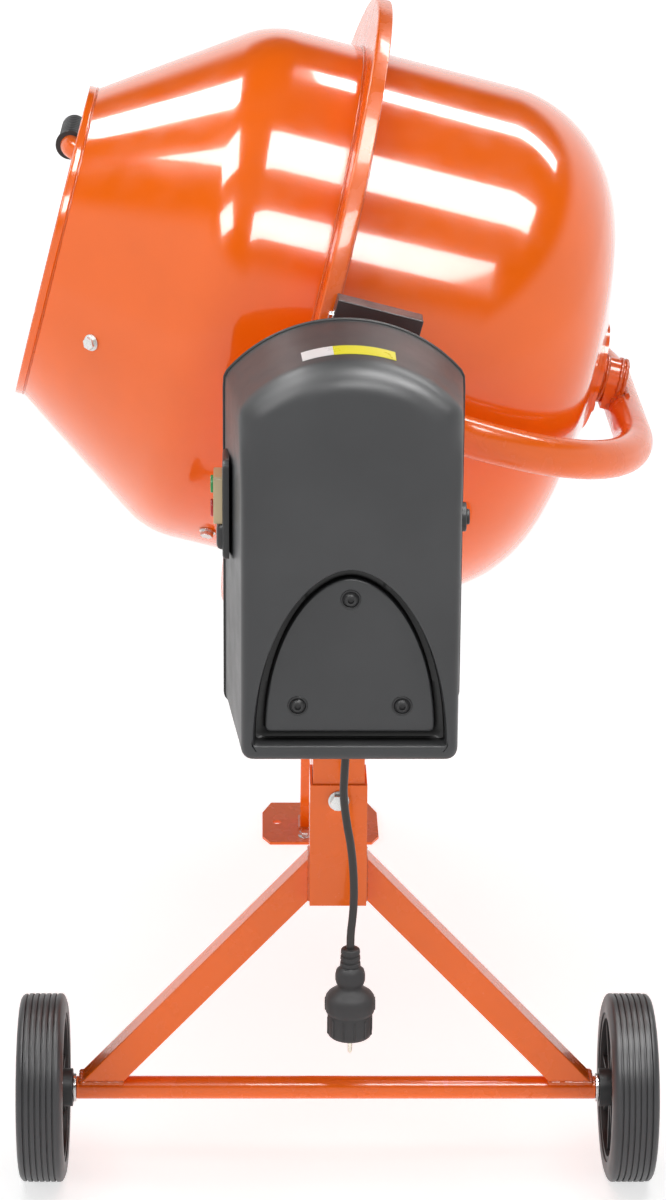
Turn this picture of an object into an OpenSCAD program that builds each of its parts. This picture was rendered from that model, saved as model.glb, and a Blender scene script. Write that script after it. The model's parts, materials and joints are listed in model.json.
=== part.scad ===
// Tilting-drum concrete mixer on a wheeled stand. Millimetres, +Z up.
// -X is the pouring side, -Y is the motor side. The origin is on the floor, at the middle of the footprint.

/* [Drum] */
// Angle of the drum axis above the horizontal at rest
tilt = 14.5; // [0:0.5:25]
// Height of the trunnion axis above the floor
axis_h = 864; // [840:1:960]
// Outer radius of the drum barrel
drum_r = 291; // [270:1:291]
// Outer radius of the mouth
mouth_r = 174; // [150:1:190]
// Half angle of the mouth cone
cone_angle = 34.5; // [31:0.5:38]
// Distance from the mouth to the trunnion axis
mouth_s = 324.5; // [310:0.5:340]
// Distance from the trunnion axis to the drum's bottom plate
bottom_s = 299.5; // [285:0.5:302]
// Sheet thickness of the drum
drum_wall = 2; // [1.5:0.5:4]
// Radius of the bend between barrel and bottom
knuckle_r = 150; // [120:1:160]

/* [Gear] */
// Module of the ring gear and pinion
gear_module = 5; // [4.5:0.1:5]
// Teeth on the ring gear
ring_teeth = 134; // [134:1:140]
// Teeth on the pinion
pinion_teeth = 12; // [12:1:13]
// Face width of the pinion
pinion_w = 17; // [12:1:17]

/* [Yoke] */
// Outer diameter of the yoke tube
yoke_d = 42; // [36:1:44]
// Distance from the drum's centre plane to each yoke arm
yoke_y = 350; // [350:1:352]
// Centreline radius of the yoke bends
yoke_bend = 240; // [210:1:244]
// Distance from the trunnion axis to the cross tube
yoke_reach = 349; // [340:1:360]
// Outer radius of the trunnions
trunnion_r = 22; // [18:1:24]

/* [Stand] */
// Outer width of the square sleeves
sleeve_w = 60; // [56:1:66]
// Wall of the square tubes
tube_wall = 2.7; // [2:0.1:4]
// Half distance between the two uprights
upright_y = 410; // [410:1:430]
// Height of the sleeves' lower edge
sleeve_bottom = 329; // [310:1:345]
// Height of the sleeves' upper edge
sleeve_top = 466; // [455:1:470]
// Angle of the wheel legs above the floor
leg_angle = 47; // [42:1:55]
// Width of the wheel legs
leg_w = 33; // [25:1:40]
// Foot plate size across
foot_w = 156; // [130:1:200]
// Foot plate size from front to back
foot_l = 140; // [110:1:170]
// Distance from the far sleeve to the foot plate's centre
foot_reach = 134; // [110:1:170]

/* [Wheels] */
// Wheel radius
wheel_r = 101.5; // [85:0.5:120]
// Wheel width
wheel_w = 50; // [40:1:60]
// Half distance between the wheels' inner faces
wheel_x = 292; // [280:1:310]
// Axle radius
axle_r = 8.5; // [6:0.5:10]

/* [Motor cover] */
// Half width of the cover at its back rim
cover_hw = 120; // [112:1:130]
// Depth of the cover
cover_d = 145; // [140:1:165]
// Height of the cover
cover_h = 407; // [395:1:425]
// Wall of the cover
cover_wall = 3; // [2:0.5:4]
// Large belt pulley radius
pulley_r = 80; // [70:1:82]
// Motor radius
motor_r = 56; // [45:1:60]

/* [Cord] */
// Diameter of the power cord
cord_d = 8.4; // [7:0.1:10]

/* [Hidden] */
$fn = 64;
gap = 0.3;                                  // clearance between curved faces that do not fit each other
seat = 0.02;                                // clearance between flat faces bolted together
fit = 0.05;                                 // radial clearance of a running fit
ring_pitch_r = gear_module * ring_teeth / 2;
pinion_pitch_r = gear_module * pinion_teeth / 2;
tooth_add = 0.8 * gear_module;              // tooth height above the pitch line
tooth_ded = 1.0 * gear_module;              // tooth depth below the pitch line
tooth_t = 0.37 * PI * gear_module;          // tooth thickness on the pitch line
ring_face = 13;                             // half of the ring teeth's radial length
ring_rim_t = 4;                             // closed rim outside the ring teeth
ring_out_r = ring_pitch_r + 9 + ring_rim_t;
ring_back = 7;                              // ring body behind the tooth roots
ring_tip_s = tooth_add - pinion_pitch_r;
ring_root_s = -pinion_pitch_r - tooth_ded;
ring_back_s = ring_root_s - ring_back;

shoulder_r = 100;                           // radius of the bend between cone and barrel
bottom_slope = 13;                          // slope of the dished bottom
plate_r = 76;                               // flat centre of the bottom
hub_r = 62;                                 // bolted hub flange under the bottom
hub_t = 6;
rim_w = 9;                                  // flat band around the mouth
rim_t = 3;
rim_step = 1.5;                             // the band stands this far proud of the cone
shaft_r = 12;                               // drum shaft
bearing_r = 26;                             // bearing housing on the cross tube

yoke_r = yoke_d / 2;
yoke_drop = 4.6;                            // the yoke plane leans this much more than the drum axis
arm_plate_t = 12;                           // flattened arm end
arm_plate_h = 60;
arm_plate_y = ring_out_r + 5;               // inner face of the flattened end
arm_flat_x = 78;                            // where the flattened end begins
arm_tube_x = 132;                           // where the round tube begins
boss_y = arm_plate_y + arm_plate_t;
cross_s = yoke_reach * cos(yoke_drop);
cross_v = -yoke_reach * sin(yoke_drop);
shaft_end = cross_s - sqrt(pow(yoke_r, 2) - pow(cross_v + shaft_r, 2)) - 0.6;

upright_w = sleeve_w - 2 * tube_wall - 2 * gap;
upright_out = upright_y + upright_w / 2;
upright_bottom = sleeve_bottom + 6;
block_h = 76;                               // bearing block on each upright
block_z = axis_h - block_h / 2;
beam_w = 54;
beam_z = sleeve_top - 9 - beam_w;
sleeve_out = upright_y + sleeve_w / 2;
leg_d = 30;                                 // leg depth from front to back
leg_top = sleeve_bottom + leg_w / cos(leg_angle) + 0.5;
axle_tube_r = 12.5;
axle_tube_l = wheel_x - 11;
foot_t = 4;
far_leg_top = 420;
far_leg_h = 115;
foot_y = sleeve_out + foot_reach;
far_leg_k = (foot_reach - 1) / (far_leg_top - far_leg_h / 2 - foot_t);
foot_hole_x = 58;
bolt_z = sleeve_top - 17;

cover_x = 2;                                // the cover sits slightly to the right of the post
cover_lean = 5;                             // and its front lies this much further right than its back
cover_back = upright_out + 3;               // front face of the back plate
cover_front = cover_back + cover_d;
cover_z = 560;
cover_draft = 13;                           // the front face is this much narrower on each side
cover_round = 18;
pulley_w = 15;
pulley_y = cover_front - 34;                // inner face of the pulleys
motor_z = cover_z + 92;
motor_pulley_r = 10.5;
motor_l = pulley_y - 6 - cover_back;
pinion_in = ring_pitch_r - 10;
shaft_pin_r = 10;

switch_z = 787;
switch_y = -(cover_back + 40);
switch_l = 104;
switch_d = 58;
wall_slope = (cover_draft - 2) / (cover_d - cover_round);
lean_slope = cover_lean / cover_d;
left_slope = wall_slope + lean_slope;
right_slope = wall_slope - lean_slope;
switch_wall_x = cover_x - cover_hw + left_slope * 40;
switch_face_x = switch_wall_x - 7;
plate_face_x = switch_face_x - 9;
plate_z = [-16, 33];                        // the button plate, from the housing's middle
low_face_x = plate_face_x + 3;              // the rounded part under the plate
button_r = 9;
button_travel = 2.5;
reset_z = 767;
reset_wall_x = cover_x + cover_hw - right_slope * 18;

lock_r = 95;                                // locking disc on the far trunnion
lock_t = 6;
lock_y = upright_out + 13;
notch_w = 17;
pin_r = 8;
pin_top = axis_h - lock_r - 1;
latch_z = pin_top - 66;
lever_y = lock_y + lock_t + 19;
lever_r = 12.5;
lever_s = 329;
lever_bend = 30;
grip_y = [32, 152];
grip_r = 16.5;

// footprint centre, which is the origin
min_x = -mouth_s * cos(tilt) - (mouth_r + rim_t - 1) * sin(tilt);
max_x = cross_s * cos(tilt) + cross_v * sin(tilt) + yoke_r;
min_y = -cover_front;
max_y = foot_y + foot_l / 2;
origin = [(min_x + max_x) / 2, (min_y + max_y) / 2, 0];

// route of the power cord, from the gland down to the plug, in the machine's own frame
cord_y = -500;
cord_route = [
    [5, 552], [5, 543], [5, 533], [5, 522], [4.5, 510], [4, 498], [3.5, 486], [4, 474],
    [5.5, 460], [7.5, 446], [10, 432], [12, 418], [13.5, 404], [14.5, 390], [15, 376],
    [15, 362], [14.5, 350], [13.5, 338], [12.5, 328], [12, 318], [12, 308]
];
gland_l = 14;
gland_z = cord_route[0][1];
plug_x = cord_route[len(cord_route) - 1][0];
plug_z = cord_route[len(cord_route) - 1][1];

// ---- helpers ----

module place() translate(-origin) children();

// the tilting frame: +X runs along the drum axis to its bottom, +Z up across it
module tilting() place() translate([0, 0, axis_h]) rotate([0, tilt, 0]) children();

// the yoke plane, which leans a little more than the drum
module yoke_plane() tilting() rotate([0, yoke_drop, 0]) children();

// a profile drawn as (distance along the drum axis, radius), turned about that axis
module turned() rotate([0, 90, 0]) rotate_extrude($fn = 96) mirror([1, 0, 0]) rotate([0, 0, 90]) children();

// a cylinder along Y between two positions
module rod_y(r, y0, y1) translate([0, y0, 0]) rotate([-90, 0, 0]) cylinder(r = r, h = y1 - y0);

// a cylinder along X between two positions
module rod_x(r, x0, x1) translate([x0, 0, 0]) rotate([0, 90, 0]) cylinder(r = r, h = x1 - x0);

// an outline in the XZ plane with thickness along Y
module slab_xz(y0, y1) translate([0, y1, 0]) rotate([90, 0, 0]) linear_extrude(y1 - y0) children();

function arc(c, r, a0, a1, n) =
    [for (i = [0:n]) [c[0] + r * cos(a0 + (a1 - a0) * i / n), c[1] + r * sin(a0 + (a1 - a0) * i / n)]];

function reversed(p) = [for (i = [len(p) - 1:-1:0]) p[i]];

module hex_bolt(head_r, head_h, washer_r, washer_h) {
    cylinder(r = washer_r, h = washer_h);
    translate([0, 0, washer_h]) cylinder(r = head_r, h = head_h, $fn = 6);
}

module square_tube(w, h, wall) difference() {
    translate([-w / 2, -w / 2, 0]) cube([w, w, h]);
    translate([wall - w / 2, wall - w / 2, -1]) cube([w - 2 * wall, w - 2 * wall, h + 2]);
}

// ---- stand ----

// sleeve: square tube with a bore for the bolt in its outer wall, side is -1 near and 1 far
module sleeve(side) place() translate([0, side * upright_y, sleeve_bottom]) difference() {
    square_tube(sleeve_w, sleeve_top - sleeve_bottom, tube_wall);
    translate([0, 0, bolt_z - sleeve_bottom]) rotate([0, 0, side < 0 ? 0 : 180]) rod_y(5.5, -sleeve_w, 0);
}

module near_sleeve() color("orangered") sleeve(-1);
module far_sleeve() color("orangered") sleeve(1);

module beam() color("orangered") place() {
    inner = upright_y - sleeve_w / 2;
    translate([0, inner, beam_z + beam_w / 2]) rotate([90, 0, 0]) square_tube(beam_w, 2 * inner, 3);
}

module upright(side) place() translate([0, side * upright_y, upright_bottom]) difference() {
    square_tube(upright_w, block_z - upright_bottom, tube_wall);
    translate([0, 0, bolt_z - upright_bottom]) rod_y(5.5, -sleeve_w, sleeve_w);
}

module near_upright() color("orangered") upright(-1);
module far_upright() color("orangered") upright(1);

module bearing_block(side) place() translate([0, side * upright_y, 0]) difference() {
    union() {
        translate([-upright_w / 2, -upright_w / 2, block_z]) cube([upright_w, upright_w, block_h / 2]);
        translate([0, 0, axis_h]) rod_y(block_h / 2 - 2, -upright_w / 2, upright_w / 2);
    }
    translate([0, 0, axis_h]) rod_y(trunnion_r + fit, -sleeve_w, sleeve_w);
    translate([-sleeve_w, -sleeve_w, block_z - sleeve_w]) cube([2 * sleeve_w, 2 * sleeve_w, sleeve_w]);
}

module near_bearing_block() color("orangered") bearing_block(-1);
module far_bearing_block() color("orangered") bearing_block(1);

// wheel leg from the sleeve's side down to the axle tube, side is -1 left and 1 right
module wheel_leg(side) place() {
    top_x = sleeve_w / 2;
    end_z = wheel_r + axle_tube_r;
    drop = leg_top - end_z;
    low = leg_top - leg_w / cos(leg_angle);
    w = tube_wall / cos(leg_angle);
    run = drop / tan(leg_angle);
    run_low = (low - end_z) / tan(leg_angle);
    run_w = w / tan(leg_angle);
    mirror([side < 0 ? 1 : 0, 0, 0]) difference() {
        slab_xz(-upright_y - leg_d / 2, -upright_y + leg_d / 2)
            polygon([[top_x, leg_top], [top_x, low], [top_x + run_low, end_z], [top_x + run, end_z]]);
        slab_xz(-upright_y - leg_d / 2 + tube_wall, -upright_y + leg_d / 2 - tube_wall) polygon([
            [top_x - 1, leg_top - w + tan(leg_angle)], [top_x - 1, low + w + tan(leg_angle)],
            [top_x + run_low + run_w + 1 / tan(leg_angle), end_z - 1],
            [top_x + run - run_w + 1 / tan(leg_angle), end_z - 1]
        ]);
    }
}

module left_leg() color("orangered") wheel_leg(-1);
module right_leg() color("orangered") wheel_leg(1);

module axle_tube() color("orangered") place() translate([0, -upright_y, wheel_r]) difference() {
    rod_x(axle_tube_r, -axle_tube_l, axle_tube_l);
    rod_x(axle_r + fit, -axle_tube_l - 1, axle_tube_l + 1);
}

module axle_rod() color("silver") place() translate([0, -upright_y, wheel_r])
    rod_x(axle_r, -wheel_x - wheel_w + 6, wheel_x + wheel_w - 6);

module axle_washers() color("silver") place() translate([0, -upright_y, wheel_r])
    for (side = [0, 1]) mirror([side, 0, 0]) difference() {
        rod_x(axle_r + 7, axle_tube_l + 0.2, axle_tube_l + 3.2);
        rod_x(axle_r + fit, axle_tube_l, axle_tube_l + 4);
    }

// side view of the far leg, set in by inset and run past both ends by over
module far_leg_side(inset, over) {
    low = far_leg_top - far_leg_h;
    polygon([
        [sleeve_out - over, far_leg_top - inset / far_leg_k + over / far_leg_k],
        [sleeve_out - over, low + inset / far_leg_k + over / far_leg_k],
        [sleeve_out + (low - foot_t) * far_leg_k + inset + over * far_leg_k, foot_t - over],
        [sleeve_out + (far_leg_top - foot_t) * far_leg_k - inset + over * far_leg_k, foot_t - over]
    ]);
}

module far_leg() color("orangered") place() difference() {
    hw = beam_w / 2;
    translate([-hw, 0, 0]) rotate([90, 0, 90]) linear_extrude(beam_w) far_leg_side(0, 0);
    translate([tube_wall - hw, 0, 0]) rotate([90, 0, 90]) linear_extrude(beam_w - 2 * tube_wall)
        far_leg_side(tube_wall, 1);
}

module foot_plate() color("orangered") place() translate([0, foot_y, 0]) difference() {
    x = foot_w / 2;
    y = foot_l / 2;
    linear_extrude(foot_t) polygon([
        [-x + 10, -y], [x - 10, -y], [x, -y + 21], [x, y - 36], [x - 12, y], [-x + 12, y],
        [-x, y - 36], [-x, -y + 21]
    ]);
    for (i = [-1, 1]) translate([i * foot_hole_x, 0, -1]) cylinder(r = 5.5, h = foot_t + 2);
}

// bolts through the sleeves into the uprights, and on the foot plate's tabs
module frame_bolts() color("silver") place() {
    for (side = [0, 1]) mirror([0, side, 0]) translate([0, -sleeve_out, bolt_z]) {
        rotate([90, 0, 0]) hex_bolt(9, 7, 11, 2);
        rod_y(5, 0, sleeve_w - tube_wall - gap);
    }
    for (x = [-21, 21]) translate([x, foot_y - 50, foot_t]) hex_bolt(7.5, 6, 9, 1.6);
}

// ---- wheels ----

module wheel_at(side) place() translate([0, -upright_y, wheel_r]) mirror([side < 0 ? 1 : 0, 0, 0])
    translate([wheel_x, 0, 0]) children();

module wheel_tyre() {
    ribs = 6;
    pitch = 5.6;
    first = 5;
    rotate([0, 90, 0]) rotate_extrude($fn = 96) difference() {
        polygon([
            [wheel_r - 21, 0], [wheel_r - 6, 0], [wheel_r - 1.5, 2], [wheel_r, 5], [wheel_r, wheel_w - 6],
            [wheel_r - 3, wheel_w - 1.5], [wheel_r - 8, wheel_w], [wheel_r - 21, wheel_w]
        ]);
        for (i = [0:ribs - 1]) translate([wheel_r - 1.6, first + i * pitch]) square([4, 2]);
    }
}

module wheel_rim() {
    web = 9;
    hub_out = axle_r + 12;
    difference() {
        union() {
            rod_x(wheel_r - 21, wheel_w / 2 - web / 2, wheel_w / 2 + web / 2);
            difference() {
                rod_x(wheel_r - 21, 2, wheel_w - 2);
                rod_x(wheel_r - 27, 0, wheel_w);
            }
            rod_x(hub_out, -7, wheel_w - 3);
            for (a = [0:45:315]) rotate([a, 0, 0])
                translate([5, -2, hub_out - 2]) cube([wheel_w - 10, 4, wheel_r - 26 - hub_out + 2]);
        }
        rod_x(axle_r + fit, -20, wheel_w + 20);
    }
}

module hub_cap() rotate([0, 90, 0]) rotate_extrude($fn = 64) polygon(concat(
    [[0, wheel_w - 3 + seat], [23, wheel_w - 3 + seat]],
    [[23, wheel_w], [19, wheel_w + 2.5], [12, wheel_w + 4], [0, wheel_w + 4.5]]
));

module left_tyre() color("dimgray") wheel_at(-1) wheel_tyre();
module left_rim() color("dimgray") wheel_at(-1) wheel_rim();
module left_hub_cap() color("orangered") wheel_at(-1) hub_cap();
module right_tyre() color("dimgray") wheel_at(1) wheel_tyre();
module right_rim() color("dimgray") wheel_at(1) wheel_rim();
module right_hub_cap() color("orangered") wheel_at(1) hub_cap();

// ---- motor cover and drive ----

// arched outline of the cover, shrunk by inset
function cover_outline(inset) =
    let (
        hw = cover_hw - inset,
        big = 155 - inset,
        small = 16,
        low = 9,
        zc = cover_z + cover_h - 155,
        zb = cover_z + min(inset, cover_wall + 1) * 0.3,
        zf = zc + sqrt(pow(big - small, 2) - pow(hw - small, 2)),
        b = atan2(zf - zc, hw - small)
    ) concat(
        arc([hw - low, zb + low], low, -90, 0, 4),
        arc([hw - small, zf], small, 0, b, 3),
        arc([0, zc], big, b, 180 - b, 16),
        arc([small - hw, zf], small, 180 - b, 180, 3),
        arc([low - hw, zb + low], low, 180, 270, 4)
    );

module cover_slice(y, t, inset) translate([cover_x + lean_slope * (y - cover_back), 0, 0])
    slab_xz(-y, -y + t) polygon(cover_outline(inset));

// solid body of the cover: w is how far the surface is set in from the outside
module cover_body(w, back) hull() {
    cover_slice(back, 0.1, w);
    cover_slice(cover_front - cover_round, 0.1, cover_draft - 2 + w);
    cover_slice(cover_front - 4, 0.1, cover_draft + 1 + w);
    cover_slice(cover_front - w, 0.1, cover_draft + 9 + w);
}

module motor_cover() color("dimgray") place() difference() {
    cover_body(0, cover_back + 0.1);
    cover_body(cover_wall, cover_back);
    translate([cord_route[0][0], cord_y, cover_z - 1]) cylinder(r = 8, h = 8);
}

module back_plate() color("orangered") place() difference() {
    translate([cover_x, 0, 0]) slab_xz(-cover_back, 3 - cover_back) polygon(cover_outline(1));
    translate([0, 0, axis_h]) rod_y(shaft_pin_r + 1, -cover_back - 1, 5 - cover_back);
}

// three screws in the sunk panel of the cover
module cover_screws() color("black") place() for (p = [[0, 158], [-52, 46], [52, 46]])
    translate([cover_x + cover_lean + p[0], -cover_front, cover_z + p[1]]) rotate([90, 0, 0]) difference() {
        cylinder(r = 6, h = 2.4);
        translate([0, 0, 1.2]) cylinder(r = 2.6, h = 2, $fn = 6);
    }

// two blank stickers that follow the cover's arched top
module cover_stickers() color("gold") place() {
    depth = [76, 100];
    middle = (depth[0] + depth[1]) / 2;
    r = 155.3;
    translate([cover_x + lean_slope * middle, -cover_back, cover_z + cover_h - 155])
    for (x = [[-51, 34], [-14, 65]]) rotate([90, 0, 0]) rotate([0, 0, 90 - (x[0] + x[1]) / r * 180 / PI])
        rotate_extrude(angle = x[1] / r * 180 / PI) polygon([
            [r - wall_slope * depth[0], depth[0]], [r + 0.4 - wall_slope * depth[0], depth[0]],
            [r + 0.4 - wall_slope * depth[1], depth[1]], [r - wall_slope * depth[1], depth[1]]
        ]);
}

module motor_body() color("silver") place() translate([0, 0, motor_z]) difference() {
    union() {
        rod_y(motor_r, -cover_back - motor_l + 12, -cover_back);
        rod_y(motor_r - 14, -cover_back - motor_l, -cover_back - motor_l + 12);
    }
    rod_y(7 + fit, -cover_back - motor_l - 1, -cover_back - 20);
}

module motor_shaft() color("silver") place() translate([0, 0, motor_z]) {
    rod_y(7, -pulley_y - pulley_w, -cover_back - 21);
    rod_y(motor_pulley_r, -pulley_y - pulley_w, -pulley_y);
}

module large_pulley() color("silver") place() translate([0, 0, axis_h]) difference() {
    union() {
        rod_y(pulley_r, -pulley_y - pulley_w, -pulley_y);
        rod_y(20, -pulley_y - pulley_w, -pulley_y + 12);
    }
    for (y = [-pulley_y - pulley_w - 1, -pulley_y - 4]) difference() {
        rod_y(pulley_r - 9, y, y + 5);
        rod_y(24, y - 1, y + 6);
    }
    rod_y(shaft_pin_r + fit, -pulley_y - pulley_w - 1, -pulley_y + 20);
}

// belt around both pulleys
module drive_belt() color("black") place() slab_xz(-pulley_y - pulley_w + 1, -pulley_y - 1) difference() {
    hull() {
        translate([0, axis_h]) circle(r = pulley_r + gap + 4);
        translate([0, motor_z]) circle(r = motor_pulley_r + gap + 4);
    }
    hull() {
        translate([0, axis_h]) circle(r = pulley_r + gap);
        translate([0, motor_z]) circle(r = motor_pulley_r + gap);
    }
}

// switch on the cover's pouring side, with two sprung buttons
module switch_box() color("dimgray") place() difference() {
    union() {
        translate([switch_face_x, switch_y - switch_d / 2, switch_z - switch_l / 2])
            cube([7 - 2 * left_slope, switch_d, switch_l]);
        translate([plate_face_x, switch_y - 20, switch_z + plate_z[0]]) cube([9, 40, plate_z[1] - plate_z[0]]);
        translate([low_face_x, switch_y - 24, switch_z + plate_z[0] - 25]) cube([switch_face_x - low_face_x, 48, 25]);
    }
    hull() for (y = [-1, 1]) translate([switch_wall_x + y * left_slope * switch_d, switch_y - y * switch_d, 0])
        translate([-fit, -0.05, switch_z - switch_l]) cube([20, 0.1, 2 * switch_l]);
    for (z = [-4, 21]) translate([0, switch_y, switch_z + z])
        rod_x(button_r + gap, plate_face_x - 1, plate_face_x + 5);
}

module button(z) place() translate([0, switch_y, switch_z + z])
    rod_x(button_r, plate_face_x - 3, plate_face_x + 5 - button_travel - gap);

module start_button() color("green") button(21);
module stop_button() color("red") button(-4);

// overload reset on the cover's other side
module reset_housing() color("dimgray") place() translate([0, -cover_back - 20, reset_z]) difference() {
    rod_x(15, reset_wall_x - 2, reset_wall_x + 5);
    rod_x(8 + gap, reset_wall_x + 1.5, reset_wall_x + 9);
    translate([0, -30, -30]) hull() for (y = [0, 60])
        translate([reset_wall_x - 30 - right_slope * (30 - y) + fit, y, 0]) cube([30, 0.1, 60]);
}

module reset_button() color("black") place() translate([0, -cover_back - 20, reset_z])
    rod_x(8, reset_wall_x + 4.5, reset_wall_x + 8.5);

// ---- cord ----

module cord_gland() color("black") place() translate([cord_route[0][0], cord_y, gland_z]) difference() {
    union() {
        translate([0, 0, -26]) cylinder(r1 = 6, r2 = 8.5, h = 26, $fn = 32);
        cylinder(r = 11, h = cover_z - gland_z);
        cylinder(r = 7.7, h = gland_l);
    }
    translate([0, 0, -30]) cylinder(r = cord_d / 2 + gap, h = 60);
}

// a tube swept along the route: every ring is level across the cord's local direction
function cord_dir(i) =
    let (a = cord_route[max(i - 1, 0)], b = cord_route[min(i + 1, len(cord_route) - 1)], d = b - a)
    d / norm(d);

module power_cord() color("black") place() {
    sides = 10;
    rings = len(cord_route);
    points = [for (i = [0:rings - 1]) for (k = [0:sides - 1])
        let (a = 360 * k / sides, d = cord_dir(i), n = [-d[1], d[0]], p = cord_route[i])
        [p[0] + cord_d / 2 * cos(a) * n[0], cord_y + cord_d / 2 * sin(a), p[1] + cord_d / 2 * cos(a) * n[1]]];
    sides_faces = [for (i = [0:rings - 2]) for (k = [0:sides - 1])
        let (m = (k + 1) % sides) [i * sides + k, i * sides + m, (i + 1) * sides + m, (i + 1) * sides + k]];
    first = [for (k = [sides - 1:-1:0]) k];
    last = [for (k = [0:sides - 1]) (rings - 1) * sides + k];
    polyhedron(points, concat(sides_faces, [first, last]), convexity = 6);
}

module plug_body() color("black") place() translate([plug_x, cord_y, plug_z]) rotate([180, 0, 0]) {
    cylinder(r1 = 9, r2 = 10.5, h = 23, $fn = 48);
    translate([0, 0, 22.9]) cylinder(r1 = 13, r2 = 15.5, h = 22);
    translate([0, 0, 44.8]) cylinder(r1 = 19, r2 = 26, h = 12);
    translate([0, 0, 56.7]) cylinder(r = 26, h = 19);
    translate([0, 0, 75.6]) cylinder(r = 23.5, h = 24.4);
}

module plug_pins() color("silver") place() for (x = [-9.5, 9.5])
    translate([plug_x, cord_y, plug_z - 100 - 16]) translate([0, x, 0]) cylinder(r = 2.4, h = 16);

// ---- drive gear ----

module pinion() color("dimgray") tilting() difference() {
    tip = pinion_pitch_r + tooth_add;
    root = pinion_pitch_r - tooth_ded;
    half = tooth_t / 2;
    union() {
        rod_y(root, -pinion_in - pinion_w, -pinion_in);
        for (i = [0:pinion_teeth - 1]) rotate([0, 180 + i * 360 / pinion_teeth, 0])
            slab_xz(-pinion_in - pinion_w, -pinion_in) polygon([
                [root - 3, -half - 0.6], [pinion_pitch_r, -half], [tip - 1, -half + 1.9], [tip, -half + 2.5],
                [tip, half - 2.5], [tip - 1, half - 1.9], [pinion_pitch_r, half], [root - 3, half + 0.6]
            ]);
    }
    rod_y(shaft_pin_r + 0.02, -pinion_in - pinion_w - 1, -pinion_in + 1);
}

module pinion_shaft() color("silver") tilting() rod_y(shaft_pin_r, -pulley_y - pulley_w - 6, -pinion_in + 4);

module ring_gear() color("orangered") tilting() {
    half = tooth_t / 2;
    slope = tan(20);
    top = ring_tip_s + 0.6;
    turned() polygon([
        [ring_back_s, drum_r + gap], [ring_back_s, ring_out_r - 1.5], [ring_back_s + 1.5, ring_out_r],
        [top - 1.5, ring_out_r], [top, ring_out_r - 1.5], [top, ring_out_r - ring_rim_t],
        [ring_root_s, ring_out_r - ring_rim_t], [ring_root_s, drum_r + 6 + gap],
        [ring_tip_s + 6, drum_r + 6 + gap], [ring_tip_s + 6, drum_r + gap]
    ]);
    for (i = [0:ring_teeth - 1]) rotate([(i + 0.5) * 360 / ring_teeth, 0, 0])
        slab_xz(-ring_out_r + ring_rim_t / 2, -ring_pitch_r + ring_face) polygon([
            [ring_root_s - 1, -half - (tooth_ded + 1) * slope], [ring_tip_s, -half + tooth_add * slope],
            [ring_tip_s, half - tooth_add * slope], [ring_root_s - 1, half + (tooth_ded + 1) * slope]
        ]);
}

// ---- yoke ----

// one flattened arm end with the tube behind it, side is -1 near and 1 far
module yoke_arm(side) mirror([0, side < 0 ? 1 : 0, 0]) difference() {
    union() {
        hull() {
            translate([arm_flat_x, arm_plate_y, -arm_plate_h / 2]) cube([1, arm_plate_t, arm_plate_h]);
            translate([arm_tube_x, yoke_y, 0]) rod_x(yoke_r, 0, 0.5, $fn = 32);
        }
        translate([0, arm_plate_y, -arm_plate_h / 2]) cube([arm_flat_x + 0.5, arm_plate_t, arm_plate_h]);
        rod_y(arm_plate_h / 2, arm_plate_y, boss_y);
    }
    rod_y(shaft_pin_r + 0.6, arm_plate_y - 1, boss_y + 1);
}

// bends, from the arms' tube ends round to the cross tube
module yoke_tube() color("orangered") yoke_plane() {
    bend_x = yoke_reach - yoke_bend;
    start = asin((arm_tube_x + 0.4 - bend_x) / yoke_bend);
    for (side = [-1, 1]) {
        yoke_arm(side);
        mirror([0, side < 0 ? 1 : 0, 0]) translate([bend_x, yoke_y - yoke_bend, 0])
            rotate_extrude(angle = 90 - start) translate([yoke_bend, 0]) circle(r = yoke_r, $fn = 48);
    }
    translate([yoke_reach, 0, 0]) rod_y(yoke_r, yoke_bend - yoke_y, yoke_y - yoke_bend);
}

module near_trunnion() color("silver") tilting() difference() {
    rod_y(trunnion_r, gap - upright_out, -boss_y - seat);
    rod_y(shaft_pin_r + fit, -upright_out, -boss_y + 1);
}

module far_trunnion() color("silver") tilting() rod_y(trunnion_r, boss_y + seat, lock_y - seat);

// housing welded on the cross tube, bored for the drum's shaft
module bearing_housing() color("orangered") tilting() difference() {
    union() {
        rod_x(bearing_r, bottom_s + hub_t + 4, shaft_end + 5);
        translate([cross_s - yoke_r - 9, -bearing_r, cross_v]) cube([shaft_end + 5 - cross_s + yoke_r + 9, 2 * bearing_r, bearing_r]);
    }
    translate([cross_s, 0, cross_v]) rod_y(yoke_r + fit, -60, 60);
    rod_x(shaft_r + fit, bottom_s, shaft_end + 1);
}

// sheet guard over the mesh of pinion and ring gear, with a tab on the arm's flattened end
guard_s = [-30, 60];
guard_top = 104;
guard_low = 24;
guard_out = boss_y + 15;
tab_s = [26, 50];
module gear_guard() color("dimgray") tilting() {
    length = guard_s[1] - guard_s[0];
    difference() {
        translate([guard_s[0], -guard_out, guard_low]) cube([length, 29, guard_top - guard_low]);
        translate([guard_s[0] + 2, -guard_out + 2, guard_low - 1]) cube([length - 4, 30, guard_top - guard_low - 1]);
        translate([guard_s[0] - 1, -boss_y - 1, guard_low - 1]) cube([length + 2, 40, 16]);
    }
    translate([tab_s[0], -boss_y - 2 - seat, 6]) cube([tab_s[1] - tab_s[0], 2, 40]);
    translate([tab_s[0], -guard_out + 1, 44]) cube([tab_s[1] - tab_s[0], guard_out - boss_y - 1 - seat, 2]);
}

module guard_screws() color("silver") tilting() {
    translate([38, -boss_y - 2 - 2 * seat, 18]) rotate([90, 0, 0]) hex_bolt(5, 4, 7, 1);
    translate([guard_s[0] - seat, -boss_y - 7, 84]) rotate([0, -90, 0]) hex_bolt(5, 4, 7, 1);
}

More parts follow.
